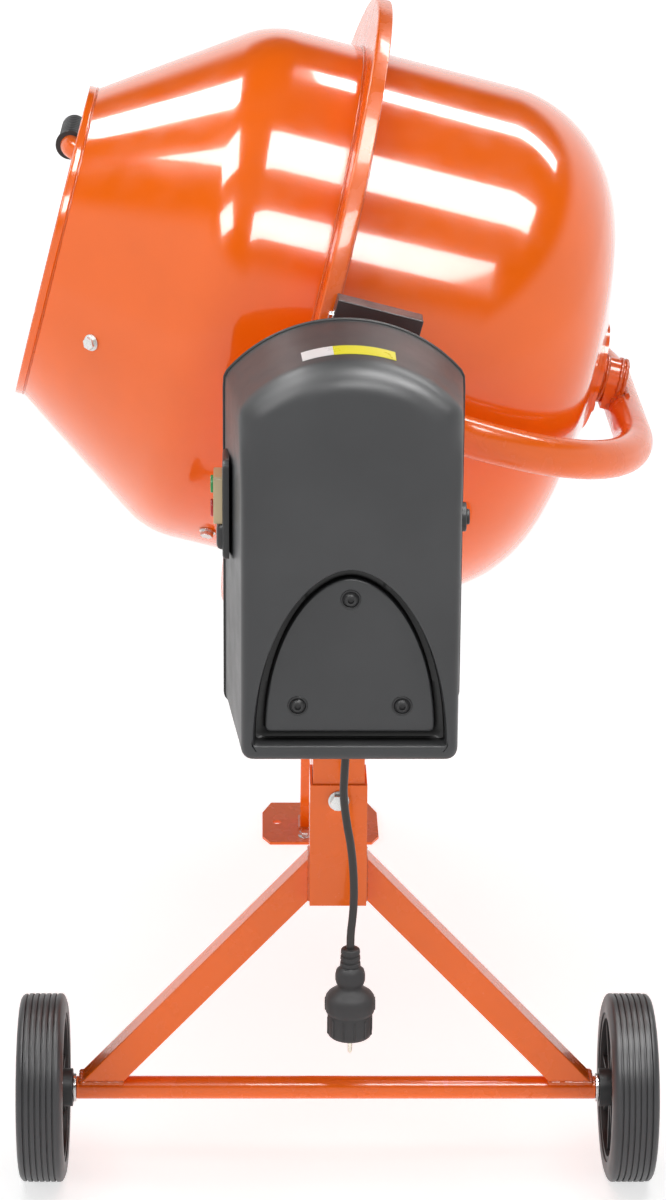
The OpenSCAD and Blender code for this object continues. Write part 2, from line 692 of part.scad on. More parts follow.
// notched disc on the far trunnion: the notches hold the drum level, pouring and upright
module locking_disc() color("silver") tilting() difference() {
    rod_y(lock_r, lock_y, lock_y + lock_t - seat);
    for (a = [-60:20:60]) rotate([0, a - tilt, 0])
        translate([-notch_w / 2, lock_y - 1, -lock_r - 5]) cube([notch_w, lock_t + 2, 19]);
}

module latch_bracket() color("orangered") place() difference() {
    translate([-20, upright_out, latch_z]) cube([40, 2 * lock_t + 16, 34]);
    translate([0, lock_y + lock_t / 2, latch_z - 1]) cylinder(r = pin_r + fit, h = 40);
}

// sprung pin that rises into a notch of the disc
module latch_pin() color("silver") place() translate([0, lock_y + lock_t / 2, 0]) {
    translate([0, 0, latch_z - 30]) cylinder(r = pin_r, h = pin_top - latch_z + 30);
    translate([0, 0, latch_z - 42]) cylinder(r = 16, h = 12);
}

// lever that tips the drum: a bar beside the drum that turns outwards into a handle at the mouth
module tilt_lever() color("orangered") tilting() {
    rod_y(28, lock_y + lock_t, lever_y + lever_r);
    translate([lever_bend - lever_s, lever_y, 0]) {
        rod_x(lever_r, 0, lever_s - lever_bend - 20);
        translate([0, lever_bend, 0]) rotate([0, 0, 180])
            rotate_extrude(angle = 90) translate([lever_bend, 0]) circle(r = lever_r);
        translate([-lever_bend, 0, 0]) rod_y(lever_r, lever_bend, grip_y[1] - 4);
    }
}

module lever_grip() color("black") tilting() translate([-lever_s, lever_y, 0]) difference() {
    rod_y(grip_r, grip_y[0], grip_y[1]);
    rod_y(lever_r + 0.02, grip_y[0] - 1, grip_y[1] - 4 + seat);
}

// ---- drum ----

shoulder_in = sin(cone_angle);
shoulder_up = 1 - cos(cone_angle);
cone_s = rim_w - mouth_s;                    // the cone starts behind the band
cone_r = mouth_r + rim_t - 1 - rim_step;
shoulder_s = (drum_r - shoulder_r * shoulder_up - cone_r) / tan(cone_angle) + shoulder_r * shoulder_in + cone_s;
knuckle_c = [
    bottom_s - (drum_r - knuckle_r + knuckle_r * sin(bottom_slope) - plate_r) * tan(bottom_slope)
        - knuckle_r * cos(bottom_slope),
    drum_r - knuckle_r
];

// outline from the mouth to the seam, set in by w
function cone_line(w) = concat(
    [[cone_s, cone_r - w / cos(cone_angle)]],
    arc([shoulder_s, drum_r - shoulder_r], shoulder_r - w, 90 + cone_angle, 90, 8),
    [[ring_root_s, drum_r - w]]
);

// outline from the seam to the centre of the bottom, set in by w
function bowl_line(w) = concat(
    [[ring_root_s, drum_r - w]],
    arc(knuckle_c, knuckle_r - w, 90, bottom_slope, 12),
    [[bottom_s - w, plate_r - w * tan(bottom_slope / 2)], [bottom_s - w, shaft_r + fit]]
);

module drum_cone() color("orangered") tilting() turned()
    polygon(concat(cone_line(0), reversed(cone_line(drum_wall))));

module drum_bowl() color("orangered") tilting() turned()
    polygon(concat(bowl_line(0), reversed(bowl_line(drum_wall))));

module mouth_rim() color("orangered") tilting() turned() polygon([
    [-mouth_s, mouth_r - 4], [-mouth_s, mouth_r + rim_t - 1], [cone_s - seat, mouth_r + rim_t - 1],
    [cone_s - seat, mouth_r - 4]
]);

// inner radius of the drum at s
function wall_at(s) =
    min(cone_r + (s - cone_s) * tan(cone_angle), drum_r - max(0, 12 - abs(s - shoulder_s) * 0.2)) - drum_wall;

blade_s = [-262, -10];                      // blade ends along the axis
blade_a = [12, 70];                         // and round it
blade_gap = 12;
blade_w = 74;
blade_t = 4;

module mixing_blade() {
    n = 14;
    function at(i) =
        let (
            f = i / n,
            s = blade_s[0] + (blade_s[1] - blade_s[0]) * f,
            a = blade_a[0] + (blade_a[1] - blade_a[0]) * f,
            ro = wall_at(s) - blade_gap,
            ri = ro - blade_w * (0.75 + 0.5 * sin(180 * f)),
            h = blade_t / 2
        ) [for (c = [[ro, -h], [ro, h], [ri, h], [ri, -h]])
            [s, -c[0] * cos(a) - c[1] * sin(a), -c[0] * sin(a) + c[1] * cos(a)]];
    points = [for (i = [0:n]) each at(i)];
    walls = [for (i = [0:n - 1]) for (k = [0:3])
        let (m = (k + 1) % 4, a = i * 4, b = (i + 1) * 4) each [[a + k, a + m, b + m], [a + k, b + m, b + k]]];
    polyhedron(points, concat(walls, [[3, 2, 1, 0], [n * 4, n * 4 + 1, n * 4 + 2, n * 4 + 3]]), convexity = 4);
}

module mixing_blades() color("orangered") tilting() for (a = [0, 180]) rotate([a, 0, 0]) mixing_blade();

// bolt and spacer at (s, a) on the wall, standing square to a wall of the given slope
module blade_bolt(s, a, slope, r) rotate([a, 0, 0]) translate([s, -r, 0]) rotate([90, 0, -slope]) {
    translate([0, 0, gap]) hex_bolt(7, 5, 9, 1.5);
    length = (blade_gap + drum_wall) * cos(slope) - drum_wall - 2 * gap;
    translate([0, 0, -drum_wall - gap - length]) cylinder(r = 7, h = length);
}

module blade_bolts() color("silver") tilting() for (half = [0, 180]) {
    blade_bolt(-258, 13 + half, cone_angle, cone_r + (-258 - cone_s) * tan(cone_angle));
    blade_bolt(-84, 53 + half, 0, drum_r);
}

// flange bolted under the bottom
module drum_hub() color("orangered") tilting() difference() {
    union() {
        rod_x(hub_r, bottom_s + seat, bottom_s + hub_t);
        for (a = [0:60:300]) rotate([a, 0, 0]) translate([bottom_s + hub_t, 0, hub_r - 14])
            rod_x(7, 0, 3, $fn = 6);
    }
    rod_x(shaft_r + fit, bottom_s - 1, bottom_s + 20);
}

module drum_shaft() color("silver") tilting() {
    rod_x(shaft_r, bottom_s - 18, shaft_end);
    rod_x(shaft_r + 10, bottom_s - drum_wall - 12, bottom_s - drum_wall - seat);
}

near_sleeve();
beam();
far_sleeve();
far_leg();
foot_plate();
left_leg();
right_leg();
axle_tube();
axle_rod();
near_upright();
far_upright();
near_bearing_block();
far_bearing_block();
frame_bolts();
axle_washers();
back_plate();
motor_cover();
cover_screws();
motor_body();
drive_belt();
switch_box();
start_button();
stop_button();
reset_button();
reset_housing();
cover_stickers();
cord_gland();
power_cord();
plug_body();
plug_pins();
latch_bracket();
latch_pin();
left_tyre();
left_rim();
left_hub_cap();
right_tyre();
right_rim();
right_hub_cap();
pinion();
pinion_shaft();
large_pulley();
motor_shaft();
yoke_tube();
near_trunnion();
far_trunnion();
bearing_housing();
gear_guard();
guard_screws();
locking_disc();
tilt_lever();
lever_grip();
drum_cone();
drum_bowl();
mouth_rim();
ring_gear();
mixing_blades();
blade_bolts();
drum_hub();
drum_shaft();
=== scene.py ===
"""The looks of a tilting-drum concrete mixer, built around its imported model.

Shapes are drawn in millimetres in one of three places. MACHINE has X = 0 at the posts, Y = 0 at the
drum's middle and Z = 0 on the floor. TILTED has its origin on the trunnion axis and X along the drum's
axis. YOKE is TILTED turned into the plane of the yoke's tube.
"""
import json
import math

import bmesh
import bpy
from mathutils import Matrix, Vector, noise


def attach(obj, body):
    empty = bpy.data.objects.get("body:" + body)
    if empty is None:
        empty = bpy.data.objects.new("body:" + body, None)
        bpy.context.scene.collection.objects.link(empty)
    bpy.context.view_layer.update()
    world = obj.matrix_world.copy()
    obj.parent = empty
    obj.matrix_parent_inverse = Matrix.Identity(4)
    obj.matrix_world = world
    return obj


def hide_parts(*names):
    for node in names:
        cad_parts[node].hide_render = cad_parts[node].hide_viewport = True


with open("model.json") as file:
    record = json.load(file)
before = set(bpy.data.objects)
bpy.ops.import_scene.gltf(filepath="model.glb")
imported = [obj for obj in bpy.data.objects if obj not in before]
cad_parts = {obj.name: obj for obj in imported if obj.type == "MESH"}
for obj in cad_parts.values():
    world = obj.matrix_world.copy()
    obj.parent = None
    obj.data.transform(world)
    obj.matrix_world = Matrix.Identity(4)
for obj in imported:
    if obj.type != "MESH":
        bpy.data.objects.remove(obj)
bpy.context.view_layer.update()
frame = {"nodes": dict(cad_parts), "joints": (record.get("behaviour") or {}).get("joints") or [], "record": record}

MM = 0.001
JOINTS = {joint["name"]: joint for joint in frame["joints"]}
BODY_OF = {node: body for body, nodes in frame["record"]["behaviour"]["bodies"].items() for node in nodes}
SLOT_OF = {part["node"]: part["material_slot"] for part in frame["record"]["subparts"]}
TRUNNION = Vector(JOINTS["yoke_tilt"]["pos_m"])
AXIS = Vector(JOINTS["drum_spin"]["axis"]).normalized()
UP = AXIS.cross(Vector((0, 1, 0)))
YOKE_DROP = math.radians(4.6)

AHEAD, ACROSS, UPWARD = (1, 0, 0), (0, 1, 0), (0, 0, 1)

SCALE = Matrix.Scale(MM, 4)
MACHINE = Matrix.Translation((TRUNNION.x, TRUNNION.y, 0)) @ SCALE
TILT = Matrix((AXIS, (0, 1, 0), UP)).transposed().to_4x4()
TILTED = Matrix.Translation(TRUNNION) @ TILT @ SCALE
YOKE = Matrix.Translation(TRUNNION) @ TILT @ Matrix.Rotation(YOKE_DROP, 4, "Y") @ SCALE


def points_of(node, place):
    """The points of a CAD node in one of the three places."""
    back = place.inverted()
    return [back @ v.co for v in frame["nodes"][node].data.vertices]


def span(node, place):
    """Lowest and highest corners of a CAD node in one of the three places."""
    points = points_of(node, place)
    low = Vector(min(p[i] for p in points) for i in range(3))
    high = Vector(max(p[i] for p in points) for i in range(3))
    return low, high


def linked(name, data):
    """An object made of data, in the scene."""
    made = bpy.data.objects.new(name, data)
    bpy.context.scene.collection.objects.link(made)
    return made


# ---- materials ----

def set_inputs(node, **values):
    """Sets sockets by their names, with _ for each space."""
    for name, value in values.items():
        node.inputs[name.replace("_", " ")].default_value = value


def maths(tree, kind, *values):
    """One step of arithmetic on sockets and numbers."""
    node = tree.nodes.new("ShaderNodeMath")
    node.operation = kind
    for socket, value in zip(node.inputs, values):
        if isinstance(value, float):
            socket.default_value = value
        else:
            tree.links.new(value, socket)
    return node.outputs["Value"]


def mapped(tree, value, start, end, low=0.0, high=1.0, curve="LINEAR"):
    """A value that runs from low to high as another goes from start to end."""
    node = tree.nodes.new("ShaderNodeMapRange")
    node.interpolation_type = curve
    set_inputs(node, From_Min=start, From_Max=end, To_Min=low, To_Max=high)
    tree.links.new(value, node.inputs["Value"])
    return node.outputs["Result"]


def mixed(tree, share, colour):
    """A mix that goes to a colour as its share goes to 1."""
    node = tree.nodes.new("ShaderNodeMix")
    node.data_type = "RGBA"
    node.inputs["B"].default_value = (*colour, 1)
    tree.links.new(share, node.inputs["Factor"])
    return node


def coordinates(tree, kind):
    """The X, Y and Z sockets of a texture coordinate."""
    split = tree.nodes.new("ShaderNodeSeparateXYZ")
    tree.links.new(tree.nodes.new("ShaderNodeTexCoord").outputs[kind], split.inputs["Vector"])
    return split.outputs["X"], split.outputs["Y"], split.outputs["Z"]


def new_material(name):
    """A material with its tree, its shader and an object-space coordinate."""
    made = bpy.data.materials.new(name)
    made.use_nodes = True
    tree = made.node_tree
    shader = tree.nodes["Principled BSDF"]
    where = tree.nodes.new("ShaderNodeTexCoord").outputs["Object"]
    return made, tree, shader, where


def noise_node(tree, where, scale, detail=3.0, roughness=0.5, stretch=None):
    """Noise over the object, stretched along an axis where stretch is given."""
    if stretch:
        mapping = tree.nodes.new("ShaderNodeMapping")
        mapping.inputs["Scale"].default_value = stretch
        tree.links.new(where, mapping.inputs["Vector"])
        where = mapping.outputs["Vector"]
    node = tree.nodes.new("ShaderNodeTexNoise")
    set_inputs(node, Scale=scale, Detail=detail, Roughness=roughness)
    tree.links.new(where, node.inputs["Vector"])
    return node.outputs["Fac"]


def ramp(tree, value, low, high, start=0.3, end=0.7):
    """A value or colour that runs from low to high as the noise goes from start to end."""
    node = tree.nodes.new("ShaderNodeValToRGB")
    for stop, position, colour in zip(node.color_ramp.elements, (start, end), (low, high)):
        stop.position = position
        stop.color = (*colour, 1)
    tree.links.new(value, node.inputs["Fac"])
    return node.outputs["Color"]


def bump(tree, height, strength, distance, under=None):
    """One layer of bump, laid over another where under is given."""
    node = tree.nodes.new("ShaderNodeBump")
    set_inputs(node, Strength=strength, Distance=distance)
    tree.links.new(height, node.inputs["Height"])
    if under:
        tree.links.new(under, node.inputs["Normal"])
    return node.outputs["Normal"]


def grey(value):
    return (value, value, value)


def shade(colour, factor):
    return tuple(min(1.0, c * factor) for c in colour)


def paint(name, colour, rough, coat, waves=0.12, peel=0.10):
    """Sprayed enamel: slow waves and orange peel in the film, and a little unevenness in colour and gloss."""
    made, tree, shader, where = new_material(name)
    tone = ramp(tree, noise_node(tree, where, 6, 4), shade(colour, 0.93), shade(colour, 1.05))
    tree.links.new(tone, shader.inputs["Base Color"])
    gloss = ramp(tree, noise_node(tree, where, 38, 5), grey(rough * 0.8), grey(rough * 1.3))
    tree.links.new(gloss, shader.inputs["Roughness"])
    slow = bump(tree, noise_node(tree, where, 11, 1), waves, 0.006)
    fine = bump(tree, noise_node(tree, where, 420, 2), peel, 0.0004, slow)
    tree.links.new(fine, shader.inputs["Normal"])
    set_inputs(shader, Coat_Weight=coat, Coat_Roughness=0.05, IOR=1.5, Specular_IOR_Level=0.32)
    return made


def moulded(name, colour, rough, grain=0.25, grain_scale=900, streak=0.0):
    """Moulded plastic or rubber: a fine spark-eroded grain, faint flow marks and a slightly uneven sheen."""
    made, tree, shader, where = new_material(name)
    tone = ramp(tree, noise_node(tree, where, 9, 4), shade(colour, 0.86), shade(colour, 1.14))
    tree.links.new(tone, shader.inputs["Base Color"])
    sheen = ramp(tree, noise_node(tree, where, 26, 5), grey(rough * 0.88), grey(min(1, rough * 1.12)))
    tree.links.new(sheen, shader.inputs["Roughness"])
    layer = bump(tree, noise_node(tree, where, grain_scale, 3), grain, 0.0004)
    if streak:
        layer = bump(tree, noise_node(tree, where, 14, 3, 0.6, (1, 1, 6)), streak, 0.001, layer)
    tree.links.new(layer, shader.inputs["Normal"])
    set_inputs(shader, Specular_IOR_Level=0.5)
    return made


def metal(name, colour, rough, stretch=(1, 1, 1), scale=300, depth=0.12):
    """Plated or cast metal: fine tool marks and a mottled lustre."""
    made, tree, shader, where = new_material(name)
    tone = ramp(tree, noise_node(tree, where, 60, 4), shade(colour, 0.82), shade(colour, 1.08))
    tree.links.new(tone, shader.inputs["Base Color"])
    lustre = ramp(tree, noise_node(tree, where, 120, 5), grey(rough * 0.7), grey(min(1, rough * 1.4)))
    tree.links.new(lustre, shader.inputs["Roughness"])
    marks = bump(tree, noise_node(tree, where, scale, 3, 0.6, stretch), depth, 0.0004)
    tree.links.new(marks, shader.inputs["Normal"])
    set_inputs(shader, Metallic=1.0)
    return made


ORANGE = (0.88, 0.135, 0.003)
DARK = (0.036, 0.037, 0.039)

# Colour, roughness, coat, waves and orange peel.
PAINTS = {
    "drum": (ORANGE, 0.16, 0.7, 0.10, 0.05),
    "frame": (ORANGE, 0.24, 0.45, 0.06, 0.16),
    "gear": (shade(ORANGE, 0.95), 0.26, 0.4, 0.14, 0.3),
    # Weld: the orange darkened to 75 percent, painted shade for beads that sit in shadow.
    "weld": (shade(ORANGE, 0.75), 0.28, 0.5, 0.3, 0.5),
    "guard": ((0.035, 0.037, 0.040), 0.36, 0.2, 0.05, 0.3),
}
# Colour, roughness, grain, its scale, and streaks.
PLASTICS = {
    "cover_plastic": (DARK, 0.40, 0.16, 1100, 0.05),
    "rim_plastic": (shade(DARK, 0.8), 0.46, 0.2, 900, 0.08),
    "cap_plastic": (ORANGE, 0.25, 0.08, 700),
    "black_plastic": ((0.016, 0.016, 0.017), 0.42, 0.2, 1200),
    "cord_rubber": ((0.022, 0.017, 0.015), 0.45, 0.12, 1500, 0.1),
    "plug_rubber": ((0.026, 0.024, 0.025), 0.55, 0.35, 800),
    "belt_rubber": ((0.014, 0.014, 0.014), 0.75, 0.4, 600),
    "tyre_rubber": ((0.042, 0.042, 0.045), 0.42, 0.2, 700, 0.1),
    "seal_rubber": ((0.008, 0.008, 0.008), 0.5, 0.2, 900),
    "white_sticker": ((0.78, 0.76, 0.76), 0.3, 0.02, 400),
    "green_button": ((0.03, 0.33, 0.08), 0.25, 0.04, 900),
    "red_button": ((0.55, 0.02, 0.015), 0.25, 0.04, 900),
    "switch_flap": ((0.55, 0.43, 0.25), 0.22, 0.05, 700),
}
LOOKS = {name + "_paint": paint(name + "_enamel", *values) for name, values in PAINTS.items()}
LOOKS.update({name: moulded(name, *values) for name, values in PLASTICS.items()})
LOOKS.update({
    "blank_sticker": moulded("yellow_sticker", (0.80, 0.74, 0.03), 0.3, 0.02, 400),
    "zinc_steel": metal("zinc_steel", (0.70, 0.70, 0.69), 0.24, (1, 1, 8), 260, 0.10),
    "plug_brass": metal("plug_pin_metal", (0.80, 0.76, 0.66), 0.20, (1, 1, 6), 300, 0.06),
    "cast_pinion": metal("cast_pinion", (0.16, 0.155, 0.15), 0.42, (1, 1, 1), 220, 0.4),
    "motor_alloy": metal("cast_alloy", (0.52, 0.53, 0.54), 0.38, (1, 1, 1), 320, 0.35),
})


# ---- making pieces ----

EDGE_ANGLE = 28
SAME_POINT = 2e-6
CORNER_SHARE = 0.48
FLAT_ANGLE = math.radians(0.6)


def finish_shape(bm, place, sharp):
    """Closes a drawn mesh into mesh data in metres, smooth but for its sharp edges."""
    bm.transform(place)
    bmesh.ops.recalc_face_normals(bm, faces=bm.faces)
    mesh = bpy.data.meshes.new("shape")
    bm.to_mesh(mesh)
    bm.free()
    mesh.polygons.foreach_set("use_smooth", [True] * len(mesh.polygons))
    mesh.set_sharp_from_angle(angle=math.radians(sharp))
    return mesh


def piece(name, bm, place, body, look, replaces=(), sharp=40):
    """Makes a drawn mesh into a piece that rides on a body."""
    mesh = finish_shape(bm, place, sharp)
    mesh.name = name
    made = linked(name, mesh)
    mesh.materials.append(LOOKS[look])
    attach(made, body)
    if replaces:
        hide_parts(*replaces)
    return made


def refined(node, radius, steps):
    """A CAD node again with its edges rounded, as pressed, sawn or moulded edges are."""
    angle = EDGE_ANGLE
    bm = bmesh.new()
    bm.from_mesh(frame["nodes"][node].data)
    bmesh.ops.remove_doubles(bm, verts=bm.verts, dist=SAME_POINT)
    bmesh.ops.dissolve_limit(bm, angle_limit=FLAT_ANGLE, verts=bm.verts, edges=bm.edges)
    made = piece("shape_" + node, bm, Matrix(), BODY_OF[node], SLOT_OF[node], [node], angle)
    edge = made.modifiers.new("edges", "BEVEL")
    edge.width = radius * MM
    edge.segments = steps
    edge.limit_method = "ANGLE"
    edge.angle_limit = math.radians(angle)
    edge.harden_normals = True
    edge.use_clamp_overlap = True


def refine_all(steps=2, **radii):
    """Several CAD nodes with rounded edges."""
    for node, radius in radii.items():
        refined(node, radius, steps)


def loops(bm, rings, closed=False, caps=True):
    """Joins rings of equally many points into a skin. Closed joins the last ring to the first."""
    made = [[bm.verts.new(p) for p in ring] for ring in rings]
    count = len(made[0])
    last = len(made) if closed else len(made) - 1
    for i in range(last):
        a, b = made[i], made[(i + 1) % len(made)]
        for k in range(count):
            m = (k + 1) % count
            bm.faces.new((a[k], a[m], b[m], b[k]))
    if caps and not closed:
        bm.faces.new(reversed(made[0]))
        bm.faces.new(made[-1])
    return made


def lathe(bm, profile, segments=128, closed=True):
    """Turns a profile of (distance along X, radius) about X. Closed joins its last point to its first."""
    rings = []
    for x, r in profile:
        rings.append([(x, r * math.cos(a), r * math.sin(a))
                      for a in (math.tau * k / segments for k in range(segments))])
    loops(bm, rings, closed, caps=not closed)


def turned(name, profile, sides, place, body, look, replaces=(), sharp=40):
    """A piece turned from a profile."""
    bm = bmesh.new()
    lathe(bm, profile, sides)
    piece(name, bm, place, body, look, replaces, sharp)


def rounded(points, radius, steps=4):
    """A closed outline with its corners rounded, each limited by the sides that meet there."""
    out = []
    count = len(points)
    for i, p in enumerate(points):
        p = Vector(p)
        size = radius[i] if isinstance(radius, (list, tuple)) else radius
        if size <= 0:
            out.append(p)
            continue
        a, b = Vector(points[i - 1]) - p, Vector(points[(i + 1) % count]) - p
        reach = min(size, a.length * CORNER_SHARE, b.length * CORNER_SHARE)
        start, end = p + a.normalized() * reach, p + b.normalized() * reach
        for k in range(steps + 1):
            t = k / steps
            out.append(start * (1 - t) ** 2 + p * 2 * t * (1 - t) + end * t ** 2)
    return out


def arc(centre, radius, start, end, steps):
    """Points of an arc between two angles in degrees."""
    angles = [math.radians(start + (end - start) * k / steps) for k in range(steps + 1)]
    return [(centre[0] + radius * math.cos(a), centre[1] + radius * math.sin(a)) for a in angles]


def tube(bm, path, radius, sides=16, wobble=0.0, closed=False):
    """A tube along a path. Wobble roughens its radius, as a bead of weld is rough."""
    rings = []
    path = [Vector(p) for p in path]
    count = len(path)
    side = None
    for i, p in enumerate(path):
        before = path[i - 1] if closed or i else p
        after = path[(i + 1) % count] if closed or i < count - 1 else p
        along = (after - before).normalized()
        if side is None:
            side = along.orthogonal().normalized()
        side = (side - along * side.dot(along)).normalized()
        other = along.cross(side)
        ring = []
        for k in range(sides):
            a = math.tau * k / sides
            out = side * math.cos(a) + other * math.sin(a)
            size = radius
            if wobble:
                rough = noise.noise((p + out * radius) * 0.35) + 0.5 * math.sin(i * 1.9)
                size = radius * (1 + wobble * rough)
            ring.append(p + out * size)
        rings.append(ring)
    loops(bm, rings, closed)


def merge(bm, drawn, place):
    """Puts one drawn mesh at a place in another."""
    drawn.transform(place)
    mesh = bpy.data.meshes.new("drawn")
    drawn.to_mesh(mesh)
    drawn.free()
    bm.from_mesh(mesh)
    bpy.data.meshes.remove(mesh)


def weld(name, path, place, body, radius=2.2, closed=False, step=2.2):
    """A rough bead of weld along a path, in the darkened weld orange that is painted shade."""
    dense = []
    path = [Vector(p) for p in path]
    ends = path[1:] + path[:1] if closed else path[1:]
    for a, b in zip(path, ends):
        parts = max(1, round((b - a).length / step))
        dense += [a.lerp(b, k / parts) for k in range(parts)]
    if not closed:
        dense.append(path[-1])
    bm = bmesh.new()
    tube(bm, dense, radius, 8, 0.28, closed)
    return piece(name, bm, place, body, "weld_paint", sharp=60)


def circle_path(centre, radius, across, up, count):
    """Points of a circle round a centre, spanned by two directions."""
    across, up = Vector(across), Vector(up)
    return [Vector(centre)
            + (across * math.cos(math.tau * k / count) + up * math.sin(math.tau * k / count)) * radius
            for k in range(count)]


def ring_weld(name, centre, radius, body, bead, count, step=2.2, across=ACROSS):
    """A closed weld in the tilted frame round a centre, on a circle of count points."""
    weld(name, circle_path(centre, radius, across, UPWARD, count), TILTED, body, bead, True, step)


def rectangle(u, v, point):
    """The corners of a rectangle in two ranges, each made into a point in space."""
    return [point(p, q) for p, q in ((u[0], v[0]), (u[1], v[0]), (u[1], v[1]), (u[0], v[1]))]


# ---- drum ----

WALL = 2.0
CONE_ANGLE = math.radians(34.5)
SHOULDER_R = 100.0
KNUCKLE_R = 150.0
BOTTOM_SLOPE = 13.0
PLATE_R = 76.0
SHAFT_HOLE_R = 12.2
DRUM_SIDES = 192
cone_low, cone_high = span("drum_cone", TILTED)
rim_low, rim_high = span("mouth_rim", TILTED)
drum_r = cone_high.y
seam_s = cone_high.x
bottom_s = span("drum_bowl", TILTED)[1].x


def cone_profile():
    """The drum's front half: a straight cone from behind the mouth band, then a bend to the barrel."""
    start_r = rim_high.y - 1.5
    rise = drum_r - SHOULDER_R * (1 - math.cos(CONE_ANGLE)) - start_r
    shoulder_s = cone_low.x + rise / math.tan(CONE_ANGLE) + SHOULDER_R * math.sin(CONE_ANGLE)
    centre = (shoulder_s, drum_r - SHOULDER_R)
    first, last = 90 + math.degrees(CONE_ANGLE), 90
    outer = [(cone_low.x, start_r)] + arc(centre, SHOULDER_R, first, last, 20) + [(seam_s, drum_r)]
    inner = [(cone_low.x, start_r - WALL)] + arc(centre, SHOULDER_R - WALL, first, last, 20)
    return outer + list(reversed(inner + [(seam_s, drum_r - WALL)]))


def bowl_profile():
    """The drum's bottom half: barrel, a wide knuckle and a dished bottom with a flat middle."""
    slope = math.radians(BOTTOM_SLOPE)
    run = drum_r - KNUCKLE_R + KNUCKLE_R * math.sin(slope) - PLATE_R
    centre = (bottom_s - run * math.tan(slope) - KNUCKLE_R * math.cos(slope), drum_r - KNUCKLE_R)
    outer = [(seam_s, drum_r)] + arc(centre, KNUCKLE_R, 90, BOTTOM_SLOPE, 28)
    outer += [(bottom_s, PLATE_R), (bottom_s, SHAFT_HOLE_R)]
    inner = [(seam_s, drum_r - WALL)] + arc(centre, KNUCKLE_R - WALL, 90, BOTTOM_SLOPE, 28)
    inner += [(bottom_s - WALL, PLATE_R), (bottom_s - WALL, SHAFT_HOLE_R)]
    return outer + list(reversed(inner))


def drum():
    """The drum's two halves in sheet steel."""
    turned("drum_front", cone_profile(), DRUM_SIDES, TILTED, "drum", "drum_paint", ["drum_cone"])
    turned("drum_back", bowl_profile(), DRUM_SIDES, TILTED, "drum", "drum_paint", ["drum_bowl"])


def mouth_band():
    """A flat band with rounded edges round the mouth, welded to the cone."""
    low, high, r = rim_low.x, rim_high.x, rim_high.y
    outline = [(low, r - 6), (low, r - 0.2), (low + 2.6, r), (high - 1.5, r), (high, r - 1.5), (high, r - 6)]
    outline = rounded(outline, [1.6, 1.8, 1.2, 0.8, 0.8, 1.6])
    turned("mouth_band", outline, DRUM_SIDES, TILTED, "drum", "drum_paint", ["mouth_rim"], 50)
    ring_weld("mouth_weld", (high + 0.5, 0, 0), r - 1.0, "drum", 1.1, 150, 9)


GEAR_TEETH = 134
PITCH_R = 335.0


def ring_gear():
    """A cast ring with a rim outside and crown teeth that face the bottom of the drum."""
    low, high = span("ring_gear", TILTED)
    out_r = high.y
    root_s, tip_s, top_s = -35.0, -26.0, -25.4
    rim_in = out_r - 4
    outline = [
        (low.x, drum_r + 0.3), (low.x, out_r), (top_s, out_r), (top_s, rim_in), (root_s, rim_in),
        (root_s, drum_r + 8), (high.x, drum_r + 6.3), (high.x, drum_r + 0.3),
    ]
    bm = bmesh.new()
    lathe(bm, rounded(outline, [1, 3.2, 1.4, 1.2, 1.2, 7, 2.2, 0.6]), 2 * GEAR_TEETH)
    half_root, half_tip = 6.2, 1.5
    inner_r, outer_r = PITCH_R - 13, rim_in + 1.5
    levels = ((root_s - 1, half_root * 0.72, 0), (root_s + 2, 3.95, 0.3), (tip_s - 1, half_tip + 0.3, 1.0),
              (tip_s, half_tip - 0.3, 1.8))
    for k in range(GEAR_TEETH):
        turn = Matrix.Rotation(math.tau * (k + 0.5) / GEAR_TEETH, 4, "X")
        rings = []
        for s, half, cut in levels:
            rings.append([turn @ Vector((s, y, z)) for y, z in (
                (-outer_r, -half), (-outer_r, half), (-inner_r - cut, half), (-inner_r - cut, -half))])
        loops(bm, rings)
    piece("ring_gear_cast", bm, TILTED, "drum", "gear_paint", ["ring_gear"])
    for name, s in (("front", low.x - 0.4), ("back", high.x + 0.4)):
        ring_weld("gear_weld_" + name, (s, 0, 0), drum_r + 0.8, "drum", 1.3, 170, 11)


# ---- yoke ----

def section(centre, across, up, half_a, half_b, power, count=40):
    """A ring between an ellipse (power 2) and a rectangle (high power)."""
    ring = []
    for k in range(count):
        a = math.tau * k / count
        c, s = math.cos(a), math.sin(a)
        x = half_a * math.copysign(abs(c) ** (2 / power), c)
        y = half_b * math.copysign(abs(s) ** (2 / power), s)
        ring.append(centre + across * x + up * y)
    return ring


YOKE_REACH, YOKE_BEND, YOKE_Y, YOKE_R = 349.0, 240.0, 350.0, 21.0
YOKE_FLAT = 12.0
HOUSING_WELD_R = 25.4
TRUNNION_WELD_R = 22.6
YOKE_BEND_STEPS = 28
YOKE_ROUND_S = 140.0


